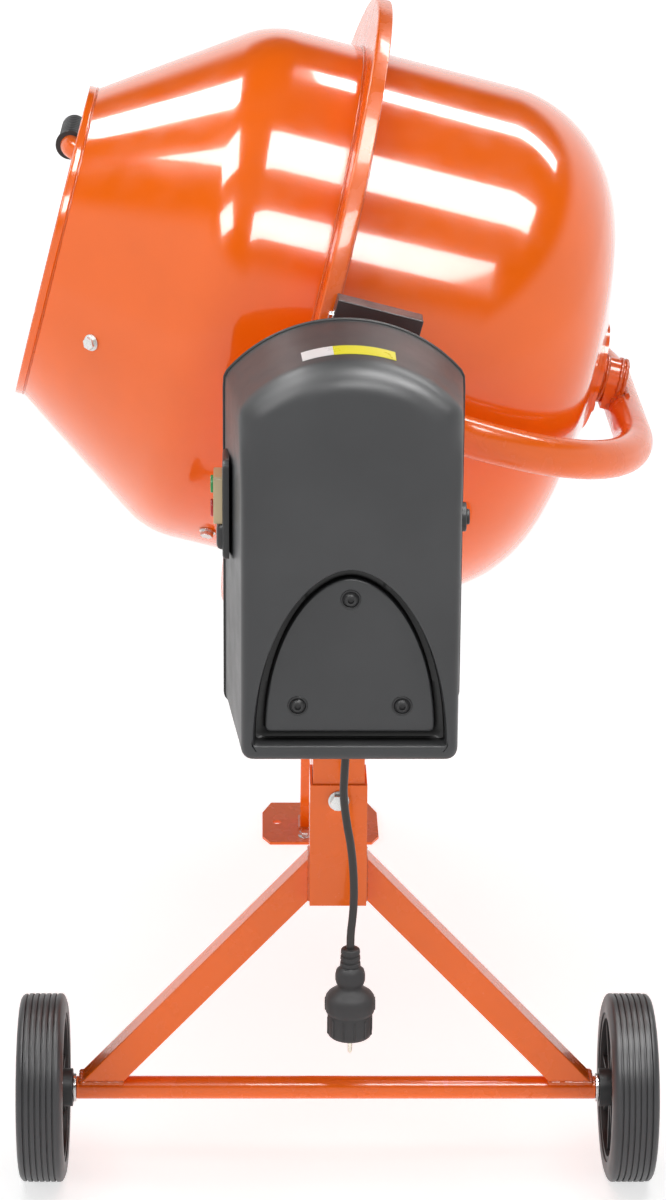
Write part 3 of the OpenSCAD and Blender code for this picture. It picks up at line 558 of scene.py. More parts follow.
def yoke():
    """One bent tube round the drum's bottom, with both ends pressed flat for the trunnions."""
    flat_y = -span("near_trunnion", TILTED)[1].y - YOKE_FLAT / 2
    up = Vector(UPWARD)
    stations = []
    # Distance along the arm, distance from the middle, half width across and up, and power of the section.
    for x, y, a, b, n in (
        (-22, flat_y, 0.4, 20, 2.4), (-21, flat_y, 5.6, 21, 3.2), (-12, flat_y, 6, 28.5, 5),
        (0, flat_y, 6, 30, 6), (60, flat_y, 6, 30, 7), (78, flat_y, 6.2, 29.6, 5.5),
        (88, flat_y - 0.6, 8, 28.6, 4), (99, flat_y - 2.0, 11.5, 26.8, 3), (110, flat_y - 3.4, 15.4, 24.6, 2.5),
        (121, flat_y - 4.6, 18.6, 22.6, 2.2), (132, YOKE_Y, 20.6, 21.2, 2.03),
    ):
        stations.append((Vector((x, y, 0)), Vector(ACROSS), a, b, n))
    bend_x, bend_y = YOKE_REACH - YOKE_BEND, YOKE_Y - YOKE_BEND
    start = math.asin((YOKE_ROUND_S - bend_x) / YOKE_BEND)
    for k in range(YOKE_BEND_STEPS + 1):
        a = start + (math.pi / 2 - start) * k / YOKE_BEND_STEPS
        out = Vector((math.sin(a), math.cos(a), 0))
        stations.append((Vector((bend_x, bend_y, 0)) + out * YOKE_BEND, out, YOKE_R, YOKE_R, 2))
    half = [section(p, across, up, a, b, n) for p, across, a, b, n in stations]
    other = [[Vector((p.x, -p.y, p.z)) for p in ring] for ring in reversed(half)]
    bm = bmesh.new()
    loops(bm, half + other)
    piece("yoke_bent_tube", bm, YOKE, "yoke", "frame_paint", ["yoke_tube"], 50)


def yoke_details():
    """Trunnions, bearing housing, guard and disc with rounded edges, and their welds to the tube."""
    refine_all(near_trunnion=0.8, far_trunnion=0.8, bearing_housing=1.2)
    low, high = span("bearing_housing", TILTED)
    for index, x in enumerate((low.x + 1.2, low.x + 6, high.x - 7, high.x - 1.5)):
        ring_weld("housing_weld_%d" % index, (x, 0, 0), HOUSING_WELD_R, "yoke", 2.6, 36)
    tube_s, tube_v = YOKE_REACH * math.cos(YOKE_DROP), -YOKE_REACH * math.sin(YOKE_DROP)
    for index, (turn, half) in enumerate(((100, 27), (122, 30), (145, 30), (168, 27))):
        a = math.radians(turn)
        s, v = tube_s + (YOKE_R + 0.6) * math.cos(a), tube_v + (YOKE_R + 0.6) * math.sin(a)
        path = [(s, -half, v), (s + 1, 0, v), (s, half, v)]
        weld("saddle_weld_%d" % index, path, TILTED, "yoke", 3.2, step=2.5)
    for side, node in ((-1, "near_trunnion"), (1, "far_trunnion")):
        low, high = span(node, TILTED)
        y = high.y if side < 0 else low.y
        name = "trunnion_weld_" + ("near" if side < 0 else "far")
        ring_weld(name, (0, y + side * 1.2, 0), TRUNNION_WELD_R, "yoke", 1.7, 30, across=AHEAD)
    refine_all(gear_guard=1.0, guard_screws=0.5, locking_disc=0.6)


LEVER_R, LEVER_BEND, GRIP_SETBACK = 12.5, 30.0, 32.0
HUB_R = 28.0
GRIP_RIBS = 9


def tilt_lever():
    """A bar from the far trunnion to the mouth, where it turns outwards into a handle with a soft grip."""
    grip_low, grip_high = span("lever_grip", TILTED)
    x, y = (grip_low.x + grip_high.x) / 2, grip_low.y - GRIP_SETBACK
    r, bend = LEVER_R, LEVER_BEND
    path = [Vector((-12, y, 0)), Vector((-40, y, 0)),
            Vector((x + bend + 60, y, 0)), Vector((x + bend + 8, y, 0))]
    path += [Vector((p[0], p[1], 0)) for p in arc((x + bend, y + bend), bend, 270, 180, 14)]
    path += [Vector((x, y + bend + 8, 0)), Vector((x, grip_high.y - 8, 0))]
    bm = bmesh.new()
    tube(bm, path, r, 28)
    piece("tilt_lever_bar", bm, TILTED, "yoke", "frame_paint", ["tilt_lever"])
    disc_high = span("locking_disc", TILTED)[1]
    outline = [(disc_high.y, 0.5), (disc_high.y, HUB_R), (y + r, HUB_R), (y + r, 0.5)]
    outward = Matrix.Rotation(math.pi / 2, 4, "Z")
    turned("lever_hub", rounded(outline, [0, 1, 4, 0], 5), 64, TILTED @ outward, "yoke", "frame_paint")
    ring_weld("lever_weld", (0.4 - HUB_R, y, 0), r + 0.8, "yoke", 1.9, 26)
    grip_r = (grip_high.x - grip_low.x) / 2
    height = grip_high.y - grip_low.y
    profile = [(0, r + 0.1), (0, grip_r + 1.5), (1, grip_r + 2.2), (4, grip_r + 2.2), (5.5, grip_r - 1.4)]
    pitch = (height - 26) / GRIP_RIBS
    for k in range(GRIP_RIBS):
        at = 9 + k * pitch
        profile += [(at, grip_r - 1.4), (at + pitch * 0.2, grip_r - 0.2), (at + pitch * 0.6, grip_r - 0.2),
                    (at + pitch * 0.8, grip_r - 1.4)]
    profile += [(height - 14, grip_r - 1.4), (height - 9, grip_r - 0.2), (height - 4, grip_r - 2.5),
                (height - 1, grip_r - 8), (height, 3), (height, 0.2)]
    profile += [(height - 6, 0.2), (height - 6, r + 0.1)]
    place = TILTED @ Matrix.Translation((x, grip_low.y, 0)) @ outward
    turned("lever_handle_grip", profile, 64, place, "yoke", "black_plastic", ["lever_grip"])


# ---- motor cover ----

cover_low, cover_high = span("motor_cover", MACHINE)
COVER_X = (cover_low.x + cover_high.x) / 2
COVER_HALF = (cover_high.x - cover_low.x) / 2
COVER_DEPTH = cover_high.y - cover_low.y
COVER_LEAN = 5.0
COVER_TOP_R = 155.0
COVER_CORNER = 16.0
COVER_FOOT_R = 11.0
COVER_WALL = 3.0
ARCH_Z = cover_high.z - COVER_TOP_R
SLOPE = 0.0866
EDGE_R = 11.0
TOP_EDGE_R = 40.0
TOP_EDGE_Z, TOP_EDGE_RUN = 850.0, 100.0
COVER_SIDES = 360
PANEL_Z = 640.0
PANEL_TOP = 752.0
PANEL_HALF = 97.0
PANEL_STEPS = 40
PANEL_INSET = 15.4
PANEL_DEEP = 9.5
GROOVE_DEEP = 20.0
LIP, LIP_HEIGHT = 11.0, 140.0


def cover_outline(inset, rise):
    """The cover's arched outline as (X, Z) points from its middle, set in at the sides and top."""
    half, big = COVER_HALF - inset, COVER_TOP_R - inset
    corner, foot = COVER_CORNER, COVER_FOOT_R
    bottom = cover_low.z + rise
    side_z = math.sqrt((big - corner) ** 2 - (half - corner) ** 2)
    turn = math.degrees(math.atan2(side_z, half - corner))
    points = arc((half - foot, bottom + foot), foot, -90, 0, 6)
    points += arc((half - corner, ARCH_Z + side_z), corner, 0, turn, 8)
    points += arc((0, ARCH_Z), big, turn, 180 - turn, 48)
    points += arc((corner - half, ARCH_Z + side_z), corner, 180 - turn, 180, 8)
    points += arc((foot - half, bottom + foot), foot, 180, 270, 6)
    return points


def radial(points, centre):
    """The outline again as points at even angles round a centre."""
    out = []
    points = [Vector(p) - Vector(centre) for p in points]
    for k in range(COVER_SIDES):
        a = math.tau * k / COVER_SIDES
        ray = Vector((math.cos(a), math.sin(a)))
        best = 0
        for p, q in zip(points, points[1:] + points[:1]):
            edge = q - p
            cross = ray.x * edge.y - ray.y * edge.x
            if abs(cross) < 1e-9:
                continue
            far = (p.x * edge.y - p.y * edge.x) / cross
            share = (p.x * ray.y - p.y * ray.x) / cross
            if far > 0 and -1e-6 <= share <= 1 + 1e-6:
                best = max(best, far)
        out.append(Vector(centre) + ray * best)
    return out


def panel_outline(grow):
    """The sunk panel: a straight foot, slanted sides and a narrow round top."""
    half, foot_z, top_z = PANEL_HALF + grow, cover_low.z + 6.0 - grow, PANEL_TOP + grow
    points = []
    for k in range(PANEL_STEPS + 1):
        t = math.pi * k / PANEL_STEPS
        c, s = math.cos(t), math.sin(t)
        wide = math.copysign(abs(c) ** 1.08, c)
        points.append((half * wide, foot_z + (top_z - foot_z) * s))
    corner = 3 + 13 * max(0.0, min(1.0, -(grow + 4) / 7))
    return rounded(points, [corner] + [0] * (PANEL_STEPS - 1) + [corner], 5)


def cover_x_at(run):
    """The middle of the cover at a distance from its back: the front lies further right."""
    return COVER_X + COVER_LEAN * run / COVER_DEPTH


INSET_STEP = 6.0
INSETS = [INSET_STEP * k for k in range(11)]
FULL_DRAFT = SLOPE * (COVER_DEPTH - EDGE_R)
outline_table = [radial(cover_outline(i, max(0.0, i - FULL_DRAFT)), (0, PANEL_Z)) for i in INSETS]


def cover_point(k, inset, run):
    """A point of the cover's skin at one angle, set in from the outside and some way from the back.

    The foot drops towards the front, into a lip.
    """
    at = min(inset / INSET_STEP, len(INSETS) - 1.001)
    low = int(at)
    p = outline_table[low][k].lerp(outline_table[low + 1][k], at - low)
    drop = LIP * run / COVER_DEPTH * max(0.0, 1 - (p.y - cover_low.z) / LIP_HEIGHT)
    return Vector((cover_x_at(run) + p.x, cover_high.y - run, p.y - drop))


def edge_radius(k):
    """The front edge is tight round the foot and sides and widens over the arch."""
    t = max(0.0, min(1.0, (outline_table[0][k].y - TOP_EDGE_Z) / TOP_EDGE_RUN))
    return EDGE_R + (TOP_EDGE_R - EDGE_R) * t * t * (3 - 2 * t)


def panel_ring(grow, deep, share=1.0):
    """The panel's outline as points on the cover's front, grown, sunk and drawn in towards its middle."""
    return [Vector((cover_x_at(COVER_DEPTH) + p.x * share, cover_low.y + deep,
                    PANEL_Z + (p.y - PANEL_Z) * share))
            for p in radial(panel_outline(grow), (0, PANEL_Z))]


def paint_groove_shade(made):
    """Darkens the groove round the panel, and the inside and the underside, to near black: painted shade for the
    deep groove.
    """
    tree = made.node_tree
    base = tree.nodes["Principled BSDF"].inputs["Base Color"]
    x, y, z = coordinates(tree, "Object")
    start = MACHINE @ Vector((cover_x_at(COVER_DEPTH), cover_low.y + PANEL_DEEP + 1.0, PANEL_TOP + 5.0))
    end = MACHINE @ Vector((cover_x_at(COVER_DEPTH) + PANEL_HALF + 2.0, cover_low.y + PANEL_DEEP + 5.0, 0))
    half = end.x - start.x
    aside = maths(tree, "ABSOLUTE", maths(tree, "SUBTRACT", x, start.x))
    mask = maths(tree, "MULTIPLY", mapped(tree, aside, half, half - MM), mapped(tree, y, start.y, end.y))
    mask = maths(tree, "MULTIPLY", mask, mapped(tree, z, start.z, start.z - MM))
    # Painted shade: the masked faces of the cover go near black.
    mix = mixed(tree, mask, grey(0.004))
    tree.links.new(base.links[0].from_socket, mix.inputs["A"])
    tree.links.new(mix.outputs["Result"], base)


def motor_cover():
    """The moulded cover: drafted walls, rounded front edges and a sunk panel in a deep groove."""
    everywhere = range(COVER_SIDES)
    straight = [COVER_DEPTH - edge_radius(k) for k in everywhere]
    rings = []
    for j in range(7):
        rings.append([cover_point(k, SLOPE * straight[k] * j / 6, straight[k] * j / 6) for k in everywhere])
    for j in range(1, 10):
        a = math.pi / 2 * j / 9
        rings.append([cover_point(k, SLOPE * straight[k] + edge_radius(k) * (1 - math.cos(a)) * 0.85,
                                  straight[k] + edge_radius(k) * math.sin(a)) for k in everywhere])
    for grow, deep in (
        (1.0, 0), (0.3, 0.2), (-0.5, 1.0), (-2.2, GROOVE_DEEP - 5), (-3.2, GROOVE_DEEP - 0.4),
        (-5, GROOVE_DEEP), (-10, GROOVE_DEEP), (-11.4, GROOVE_DEEP - 1), (-12.6, PANEL_DEEP + 1.6),
        (-13.6, PANEL_DEEP + 0.4), (-PANEL_INSET, PANEL_DEEP),
    ):
        rings.append(panel_ring(grow, deep))
    for share in (0.75, 0.5, 0.25):
        rings.append(panel_ring(-PANEL_INSET, PANEL_DEEP, share))
    bm = bmesh.new()
    outside = loops(bm, rings, caps=False)
    bm.faces.new(outside[-1])
    inner = []
    for j in range(4):
        inner.append([cover_point(k, SLOPE * straight[k] * j / 3 + COVER_WALL, straight[k] * j / 3)
                      for k in everywhere])
    front = COVER_DEPTH - GROOVE_DEEP - 2 - COVER_WALL
    inner.append([cover_point(k, SLOPE * straight[k] + GROOVE_DEEP + 2, front) for k in everywhere])
    for ring in inner:
        for p in ring:
            p.z = max(p.z, cover_low.z + COVER_WALL)
    inside = loops(bm, inner, caps=False)
    bm.faces.new(reversed(inside[-1]))
    for k in everywhere:
        m = (k + 1) % COVER_SIDES
        bm.faces.new((outside[0][k], inside[0][k], inside[0][m], outside[0][m]))
    # The groove, the inside and the underside of the cover get painted shade.
    paint_groove_shade(LOOKS["cover_plastic"])
    piece("cover_shell", bm, MACHINE, "stand", "cover_plastic", ["motor_cover"])
    path = [cover_point(k, 0, -0.8) for k in everywhere]
    bm = bmesh.new()
    tube(bm, path, 2.1, 10, closed=True)
    piece("cover_edge_seal", bm, MACHINE, "stand", "seal_rubber", sharp=60)
    refine_all(back_plate=0.8)


SCREW_R, SCREW_H, SCREW_SIDES = 7.0, 4.2, 36


def screw(bm, centre):
    """A domed screw head with a round socket in a raised seat, facing -Y."""
    r, h = SCREW_R, SCREW_H
    profile = [(-2, 0.01), (-2, r * 0.8), (0, r * 0.96), (h * 0.35, r), (h * 0.7, r * 0.86),
               (h * 0.95, r * 0.62), (h, r * 0.46), (h * 0.35, r * 0.42), (h * 0.35, 0.01)]
    seat = [(-0.5, 7.2), (0.5, 7.6), (1.1, 8.6), (0.9, 9.8), (-0.5, 10.6)]
    place = Matrix.Translation(centre) @ Matrix.Rotation(-math.pi / 2, 4, "Z")
    for outline in (profile, seat):
        drawn = bmesh.new()
        lathe(drawn, outline, SCREW_SIDES)
        merge(bm, drawn, place)


def cover_screws():
    """Three screws on the sunk panel."""
    low, high = span("cover_screws", MACHINE)
    bm = bmesh.new()
    seat_y = cover_low.y + PANEL_DEEP
    for x, z in (((low.x + high.x) / 2, high.z - 6), (low.x + 6, low.z + 6), (high.x - 6, low.z + 6)):
        screw(bm, (x, seat_y, z))
    piece("cover_socket_screws", bm, MACHINE, "stand", "black_plastic", ["cover_screws"])


LABEL_RUN, LABEL_WIDTH = 76.0, 24.0
LABEL_ROWS, LABEL_COLUMNS = 12, 16


def stickers():
    """Two blank labels that lie on the cover's arched top."""
    rows, columns = LABEL_ROWS, LABEL_COLUMNS
    patches = (
        ("white_label", -50.0, -17.0, "white_sticker", ["cover_stickers"]),
        ("yellow_label", -17.0, 48.0, "blank_sticker", ()),
    )
    for name, left, right, look, replaces in patches:
        bm = bmesh.new()
        sheets = []
        for lift in (0.15, 0.5):
            grid = []
            for i in range(rows + 1):
                run = LABEL_RUN + LABEL_WIDTH * i / rows
                r = COVER_TOP_R - run * SLOPE + lift
                row = []
                for k in range(columns + 1):
                    a = (left + (right - left) * k / columns) / COVER_TOP_R
                    row.append(bm.verts.new((cover_x_at(run) + r * math.sin(a), cover_high.y - run,
                                             ARCH_Z + r * math.cos(a))))
                grid.append(row)
            sheets.append(grid)
            for i in range(rows):
                for k in range(columns):
                    bm.faces.new((grid[i][k], grid[i + 1][k], grid[i + 1][k + 1], grid[i][k + 1]))
        rim = [g[0] + [row[-1] for row in g[1:]] + g[-1][-2::-1] + [row[0] for row in g[-2:0:-1]]
               for g in sheets]
        for k in range(len(rim[0])):
            m = (k + 1) % len(rim[0])
            bm.faces.new((rim[0][k], rim[0][m], rim[1][m], rim[1][k]))
        piece(name, bm, MACHINE, "stand", look, replaces)


PLATE_PROUD = 9.0


def slab_x(bm, y, z, half_y, half_z, corner, levels):
    """A slab facing X with rounded corners: each level is (X, how far the outline is set in)."""
    rings = []
    for x, inset in levels:
        box = [(y - half_y + inset, z - half_z + inset), (y + half_y - inset, z - half_z + inset),
               (y + half_y - inset, z + half_z - inset), (y - half_y + inset, z + half_z - inset)]
        rings.append([(x, p.x, p.y) for p in rounded(box, max(0.5, corner - inset), 6)])
    loops(bm, rings)


def switch():
    """A moulded switch housing with a rounded chin, a framed button plate, two buttons and a reset button."""
    low, high = span("switch_box", MACHINE)
    y, z = (low.y + high.y) / 2, (low.z + high.z) / 2
    face = low.x + PLATE_PROUD
    bm = bmesh.new()
    slab_x(bm, y, z, 29, 52, 12, [(high.x, 0), (face + 3, 0), (face + 1, 0.8), (face + 0.2, 2.4), (face, 4)])
    chin = [(face + 1, 0), (low.x + 7, 0.3), (low.x + 4.6, 1.6), (low.x + 3.4, 4), (low.x + 3, 7)]
    slab_x(bm, y, z - 29, 24, 14, 9, chin)
    piece("switch_housing", bm, MACHINE, "stand", "black_plastic", ["switch_box"])
    bm = bmesh.new()
    outer = rounded([(-20, -16), (20, -16), (20, 33), (-20, 33)], 4, 5)
    inner = rounded([(-17, -13), (17, -13), (17, 30), (-17, 30)], 2.5, 5)
    crest = [Vector((p.x * 0.96, 8.5 + (p.y - 8.5) * 0.97)) for p in outer]
    levels = ((face + 0.5, outer), (low.x + 1, outer), (low.x, crest), (low.x + 0.2, inner), (face, inner))
    loops(bm, [[(x, y + p.x, z + p.y) for p in outline] for x, outline in levels])
    piece("switch_button_plate", bm, MACHINE, "stand", "switch_flap")
    refine_all(3, start_button=1.0, stop_button=1.0, reset_housing=1.2, reset_button=1.4)


# ---- cord ----

CORD_Y = -500.0
# The route as (X, Z) points, from the gland down to the plug.
CORD_ROUTE = [
    (5, 552), (5, 543), (5, 533), (5, 522), (4.5, 510), (4, 498), (3.5, 486), (4, 474), (5.5, 460),
    (7.5, 446), (10, 432), (12, 418), (13.5, 404), (14.5, 390), (15, 376), (15, 362), (14.5, 350),
    (13.5, 338), (12.5, 328), (12, 318), (12, 308),
]
CORD_D = 8.4


def smooth_path(points, parts=4):
    """A smooth curve through points."""
    out = []
    points = [Vector(p) for p in points]
    for i in range(len(points) - 1):
        a, b, c, d = (points[max(0, min(len(points) - 1, i + k))] for k in (-1, 0, 1, 2))
        for k in range(parts):
            t = k / parts
            out.append(0.5 * ((2 * b) + (c - a) * t + (2 * a - 5 * b + 4 * c - d) * t ** 2
                              + (3 * b - a - 3 * c + d) * t ** 3))
    return out + [points[-1]]


def plug():
    """A moulded plug: ribbed strain relief, swollen neck, round grip with ribs at its sides, and two pins."""
    top = span("plug_body", MACHINE)[1].z
    x, y = CORD_ROUTE[-1][0], CORD_Y
    across, along = Vector(AHEAD), Vector(ACROSS)
    # Distance from the top and half width along X. Where the section isn't a circle, its half width
    # along Y and its power follow.
    rows = [
        (0, 5), (0.4, 8.6), (1.6, 9.8), (5, 10.2), (5.8, 8.8), (8, 8.8), (8.8, 10.3), (12, 10.5), (12.8, 9.1),
        (15, 9.1), (15.8, 10.6), (19.5, 10.8), (20.5, 9.8, 9.6, 2), (22, 11.5, 11, 2), (25, 14.6, 13.6, 2.1),
        (30, 15.7, 14.6, 2.2), (36, 15.6, 14.5, 2.2), (40, 14.4, 13.6, 2.1), (43, 12.8, 12.6, 2),
        (45, 13.4, 13.2, 2), (48, 18, 17.2, 2.1), (52, 23, 22, 2.2), (56, 25.6, 24.4, 2.3), (60, 26, 25, 2.3),
        (68, 26, 25, 2.3), (71, 25.4, 24.4, 2.2), (72.6, 23.6, 23.4, 2), (74.5, 22.8), (76, 23.5), (94, 23.4),
        (98, 22.8), (99.6, 21.2), (100, 19),
    ]
    bm = bmesh.new()
    rings = []
    for d, a, *rest in rows:
        b, n = rest or (a, 2)
        rings.append(section(Vector((x, y, top - d)), across, along, a, b, n, 64))
    loops(bm, rings)
    for k in range(12):
        a = math.tau * k / 12 + 0.2
        tube(bm, [(x + 23.5 * math.cos(a), y + 23.5 * math.sin(a), top - d) for d in (77, 85, 96)], 0.9, 8)
    for side in (-1, 1):
        for k in range(4):
            a = math.radians(-24 + 16 * k)
            rib = [(x + side * 25.8 * math.cos(a), y + 25 * math.sin(a), top - d) for d in (58, 63, 69)]
            tube(bm, rib, 1.0, 8)
    body = piece("moulded_plug", bm, MACHINE, "stand", "plug_rubber", ["plug_body"], 45)
    pin_low, pin_high = span("plug_pins", MACHINE)
    r = (pin_high.x - pin_low.x) / 2
    bm = bmesh.new()
    for pin_y in (pin_low.y + r, pin_high.y - r):
        rings = []
        for d, size in ((0, r), (13, r), (14.8, r * 0.86), (15.8, r * 0.5), (16, 0.2)):
            rings.append(section(Vector((x, pin_y, pin_high.z - d)), across, along, size, size, 2, 24))
        loops(bm, rings)
    pins = piece("plug_contact_pins", bm, MACHINE, "stand", "plug_brass", ["plug_pins"], 45)
    return body, pins


def gland():
    """A screwed gland under the cover with a tapered, ribbed sleeve for the cord."""
    low, high = span("cord_gland", MACHINE)
    x, y = CORD_ROUTE[0][0], CORD_Y
    bore = CORD_D / 2 + 0.25
    outer = [(low.z, 6)]
    for k in range(5):
        z = low.z + 2 + k * 4.4
        r = 6.1 + k * 0.45
        outer += [(z, r), (z + 1.6, r), (z + 2.0, r - 0.8), (z + 3.4, r - 0.8), (z + 3.8, r + 0.4)]
    collar = CORD_ROUTE[0][1]
    outer += [(collar, 8.8), (collar, 10.4), (collar + 1, 11), (cover_low.z - 0.6, 11), (cover_low.z, 10.4)]
    outer += [(cover_low.z, 7.6), (high.z, 7.6)]
    outer += [(high.z, bore), (low.z, bore)]
    place = MACHINE @ Matrix.Translation((x, y, 0)) @ Matrix.Rotation(-math.pi / 2, 4, "Y")
    turned("cord_strain_relief", outer, 48, place, "stand", "black_plastic", ["cord_gland"])


def cord():
    """The mains cord from its gland to its plug."""
    route = smooth_path([(x, CORD_Y, z) for x, z in CORD_ROUTE])
    curve = bpy.data.curves.new("mains_cord", "CURVE")
    curve.dimensions = "3D"
    curve.bevel_depth = CORD_D / 2 * MM
    curve.bevel_resolution = 6
    curve.use_fill_caps = True
    line = curve.splines.new("POLY")
    line.points.add(len(route) - 1)
    for point, p in zip(line.points, route):
        point.co = (*(MACHINE @ p), 1)
    made = linked("mains_cord", curve)
    curve.materials.append(LOOKS["cord_rubber"])
    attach(made, "stand")
    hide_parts("power_cord")
    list(plug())


# ---- wheels ----

TREAD_RIBS = 6
CAP_STEPS = 8


def wheel(side):
    """Ribbed tyre, webbed plastic rim and a domed hub cap, mirrored for the left side."""
    body = "left_wheel" if side < 0 else "right_wheel"
    name = "left" if side < 0 else "right"
    low, high = span(name + "_tyre", MACHINE)
    r = (high.z - low.z) / 2
    width = high.x - low.x
    centre = Vector((low.x if side > 0 else high.x, (low.y + high.y) / 2, (low.z + high.z) / 2))
    facing = Matrix.Rotation(math.pi, 4, "Z") if side < 0 else Matrix()
    place = MACHINE @ Matrix.Translation(centre) @ facing
    inner = r - 21
    profile = [(0.6, inner), (0, inner + 1.5), (0, r - 9), (0.6, r - 7), (2, r - 3.2), (3.6, r - 0.9)]
    pitch = (width - 13) / TREAD_RIBS
    for k in range(TREAD_RIBS):
        at = 5 + k * pitch
        profile += [(at, r - 0.15), (at + pitch * 0.18, r), (at + pitch * 0.55, r),
                    (at + pitch * 0.68, r - 0.25), (at + pitch * 0.74, r - 2.2), (at + pitch * 0.92, r - 2.2)]
    profile += [(width - 7.4, r - 0.4), (width - 5, r - 0.6), (width - 2.6, r - 2.6), (width - 1.2, r - 5),
                (width - 0.6, r - 8), (width - 0.6, r - 10.5), (width - 1.4, r - 11), (width - 1.4, r - 13),
                (width - 0.4, r - 13.6), (width - 0.2, inner + 2), (width - 0.8, inner)]
    turned(name + "_ribbed_tyre", profile, 160, place, body, "tyre_rubber", [name + "_tyre"])
    refined(name + "_rim", 1.0, 2)
    cap_low, cap_high = span(name + "_hub_cap", MACHINE)
    cap_r, cap_h = (cap_high.z - cap_low.z) / 2, cap_high.x - cap_low.x
    start = (cap_low.x - centre.x) if side > 0 else (centre.x - cap_high.x)
    cap = [(start, 0.1), (start, cap_r), (start + cap_h * 0.3, cap_r), (start + cap_h * 0.5, cap_r - 1)]
    for k in range(1, CAP_STEPS + 1):
        a = math.pi / 2 * k / CAP_STEPS
        cap.append((start + cap_h * (0.5 + 0.5 * math.sin(a)), (cap_r - 1) * math.cos(a) + 0.1))
    turned(name + "_domed_cap", cap, 64, place, body, "cap_plastic", [name + "_hub_cap"], 35)


# ---- stand ----

def stand():
    """The frame's tubes, plates and bolts with rounded edges."""
    refine_all(3, near_sleeve=2.2, far_sleeve=2.2, near_upright=2.2, far_upright=2.2, beam=2.2)
    refine_all(3, left_leg=2.4, right_leg=2.4, far_leg=2.4)
    refine_all(axle_tube=1.0, foot_plate=1.2, near_bearing_block=1.6, far_bearing_block=1.6,
               latch_bracket=1.2, latch_pin=0.8, frame_bolts=0.7, axle_washers=0.5)


def stand_welds():
    """Beads where the legs meet the axle tube and the sleeve, and where the beam and the far leg end."""
    top_z = span("axle_tube", MACHINE)[1].z
    sleeve_high = span("near_sleeve", MACHINE)[1]
    for node, side in (("left_leg", -1), ("right_leg", 1)):
        low, high = span(node, MACHINE)
        points = points_of(node, MACHINE)
        feet = [p.x for p in points if p.z < low.z + 1]
        tops = [p.z for p in points if abs(p.x) < abs(high.x if side < 0 else low.x) + 1]
        wide = (low.y, high.y)
        path = rectangle((min(feet), max(feet)), wide, lambda x, y: (x, y, top_z))
        weld(node + "_foot_weld", path, MACHINE, "stand", 2.3, True)
        path = rectangle((min(tops), max(tops)), wide, lambda z, y: (side * sleeve_high.x, y, z))
        weld(node + "_top_weld", path, MACHINE, "stand", 2.0, True)
    beam_low, beam_high = span("beam", MACHINE)
    for name, y in (("near", beam_low.y), ("far", beam_high.y)):
        path = rectangle((beam_low.x, beam_high.x), (beam_low.z, beam_high.z), lambda x, z: (x, y, z))
        weld("beam_weld_" + name, path, MACHINE, "stand", 2.2, True)
    leg_low, leg_high = span("far_leg", MACHINE)
    feet = [p.y for p in points_of("far_leg", MACHINE) if p.z < leg_low.z + 1]
    path = rectangle((leg_low.x, leg_high.x), (min(feet), max(feet)), lambda x, y: (x, y, leg_low.z))
    weld("far_leg_weld", path, MACHINE, "stand", 2.4, True)


def inner_works():
    """What the covers hide keeps its CAD shape, with rounded edges and its own finish."""
    for node in ("motor_body", "large_pulley", "motor_shaft", "drive_belt", "pinion", "pinion_shaft",
                 "axle_rod"):
        refined(node, 0.5, 1)
    refine_all(mixing_blades=1.2, blade_bolts=0.6, drum_hub=0.8, drum_shaft=0.8)


# ---- studio ----

FLOOR_GLOW = (0.62, 0.95)
WALL_LIGHT, CEILING_LIGHT = 1.06, 0.03
WALL_TOP, WALL_LEFT, WALL_RIGHT = 0.32, 0.34, 0.14
CEILING = 3.0
BOX_LIGHT = 20.0
OVERHEAD_POWER = 66.0

CAMERA_TARGET = (-86.4, 0, 519.4)
CAMERA_DISTANCE = 4.140
CAMERA_ELEVATION = math.radians(19)


def area_light(name, place, target, size, power):
    """A white rectangular light at a place, facing a target."""
    data = bpy.data.lights.new(name, "AREA")
    data.shape = "RECTANGLE"
    data.size, data.size_y = size
    data.energy = power
    made = linked(name, data)
    made.location = place
    made.rotation_euler = (Vector(target) - Vector(place)).to_track_quat("-Z", "Y").to_euler()
    return made


def softbox(name, x, y):
    """A bright panel in the ceiling that shows in gloss only. x and y are its edges."""
    place = ((x[0] + x[1]) / 2, (y[0] + y[1]) / 2, CEILING)
    size = (x[1] - x[0], y[1] - y[0])
    made = area_light(name, place, (place[0], place[1], 0), size, BOX_LIGHT * math.pi * size[0] * size[1])
    made.visible_diffuse = False


def floor():
    """A wide pale floor that glows a little more further away, where less light falls on it."""
    half = 30.0
    bm = bmesh.new()
    corners = ((-half, -half, 0), (half, -half, 0), (half, half, 0), (-half, half, 0))
    bm.faces.new([bm.verts.new(p) for p in corners])
    mesh = bpy.data.meshes.new("floor")
    bm.to_mesh(mesh)
    bm.free()
    made, tree, shader, where = new_material("pale_floor")
    tone = ramp(tree, noise_node(tree, where, 3), grey(0.80), grey(0.82))
    tree.links.new(tone, shader.inputs["Base Color"])
    set_inputs(shader, Roughness=0.9, Specular_IOR_Level=0.1, Emission_Color=(1, 1, 1, 1))
    away = tree.nodes.new("ShaderNodeVectorMath")
    away.operation = "LENGTH"
    tree.links.new(where, away.inputs[0])
    glow = mapped(tree, away.outputs["Value"], 1.2, 6.0, *FLOOR_GLOW)
    tree.links.new(glow, shader.inputs["Emission Strength"])
    mesh.materials.append(made)
    linked("floor", mesh)


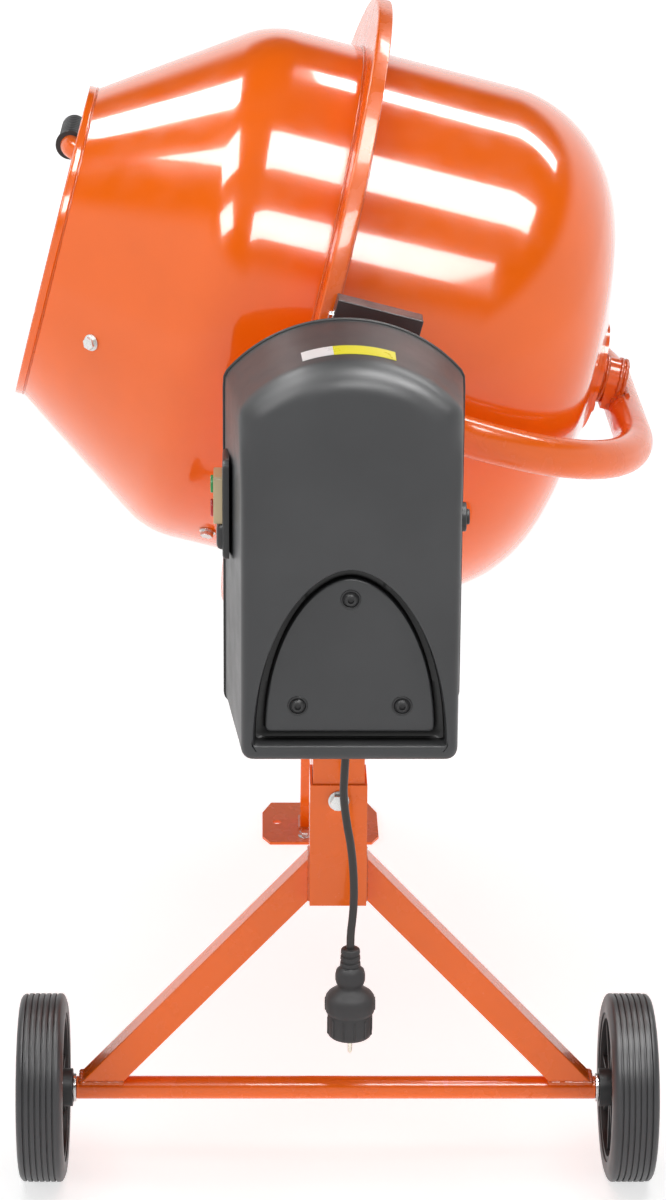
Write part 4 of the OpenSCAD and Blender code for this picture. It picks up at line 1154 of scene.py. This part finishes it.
def room():
    """White walls up to a height that grows to both sides, and a dark ceiling above them."""
    world = bpy.data.worlds.new("studio")
    bpy.context.scene.world = world
    world.use_nodes = True
    tree = world.node_tree
    x, _, z = coordinates(tree, "Generated")
    left = maths(tree, "MULTIPLY", maths(tree, "MAXIMUM", maths(tree, "MULTIPLY", x, -1.0), 0.0), WALL_LEFT)
    right = maths(tree, "MULTIPLY", maths(tree, "MAXIMUM", x, 0.0), WALL_RIGHT)
    edge = maths(tree, "ADD", maths(tree, "ADD", left, right), WALL_TOP)
    wall = mapped(tree, maths(tree, "SUBTRACT", edge, z), -0.10, 0.06, curve="SMOOTHSTEP")
    mix = mixed(tree, wall, grey(WALL_LIGHT))
    mix.inputs["A"].default_value = (*grey(CEILING_LIGHT), 1)
    tree.links.new(mix.outputs["Result"], tree.nodes["Background"].inputs["Color"])


def studio():
    """A pale floor in a white room with a dark ceiling and two columns of softboxes. Places are in metres."""
    floor()
    room()
    for name, x, y in (
        ("box_right_front", (-0.1, 1.15), (-3.2, -2.1)), ("box_right_middle", (0.1, 2.0), (-1.07, -0.33)),
        ("box_right_back", (0.6, 2.4), (1.05, 1.52)), ("box_left_front", (-1.95, -1.2), (-2.25, -1.4)),
        ("box_left_middle", (-1.7, -0.95), (-0.75, 0.05)), ("box_left_back", (-1.55, -1.0), (0.75, 1.55)),
    ):
        softbox(name, x, y)
    overhead = area_light("overhead", (0, -0.6, 3.4), (0, 0, 0.4), (3.2, 3.2), OVERHEAD_POWER)
    overhead.visible_glossy = False


def camera():
    """The photograph's view: a long lens, a little above the machine and square to its motor side."""
    data = bpy.data.cameras.new("camera")
    data.sensor_fit = "VERTICAL"
    data.sensor_height = 36.0
    data.lens = 107.5
    data.shift_x = 0.0641
    made = linked("camera", data)
    forward = Vector((0, math.cos(CAMERA_ELEVATION), -math.sin(CAMERA_ELEVATION)))
    made.location = MACHINE @ Vector(CAMERA_TARGET) - forward * CAMERA_DISTANCE
    made.rotation_euler = forward.to_track_quat("-Z", "Y").to_euler()
    bpy.context.scene.camera = made


camera()
cord()
gland()
drum()
mouth_band()
ring_gear()
yoke()
yoke_details()
tilt_lever()
motor_cover()
cover_screws()
stickers()
switch()
for side in (-1, 1):
    wheel(side)
stand()
stand_welds()
inner_works()
studio()
bpy.context.scene.view_settings.view_transform = "Standard"
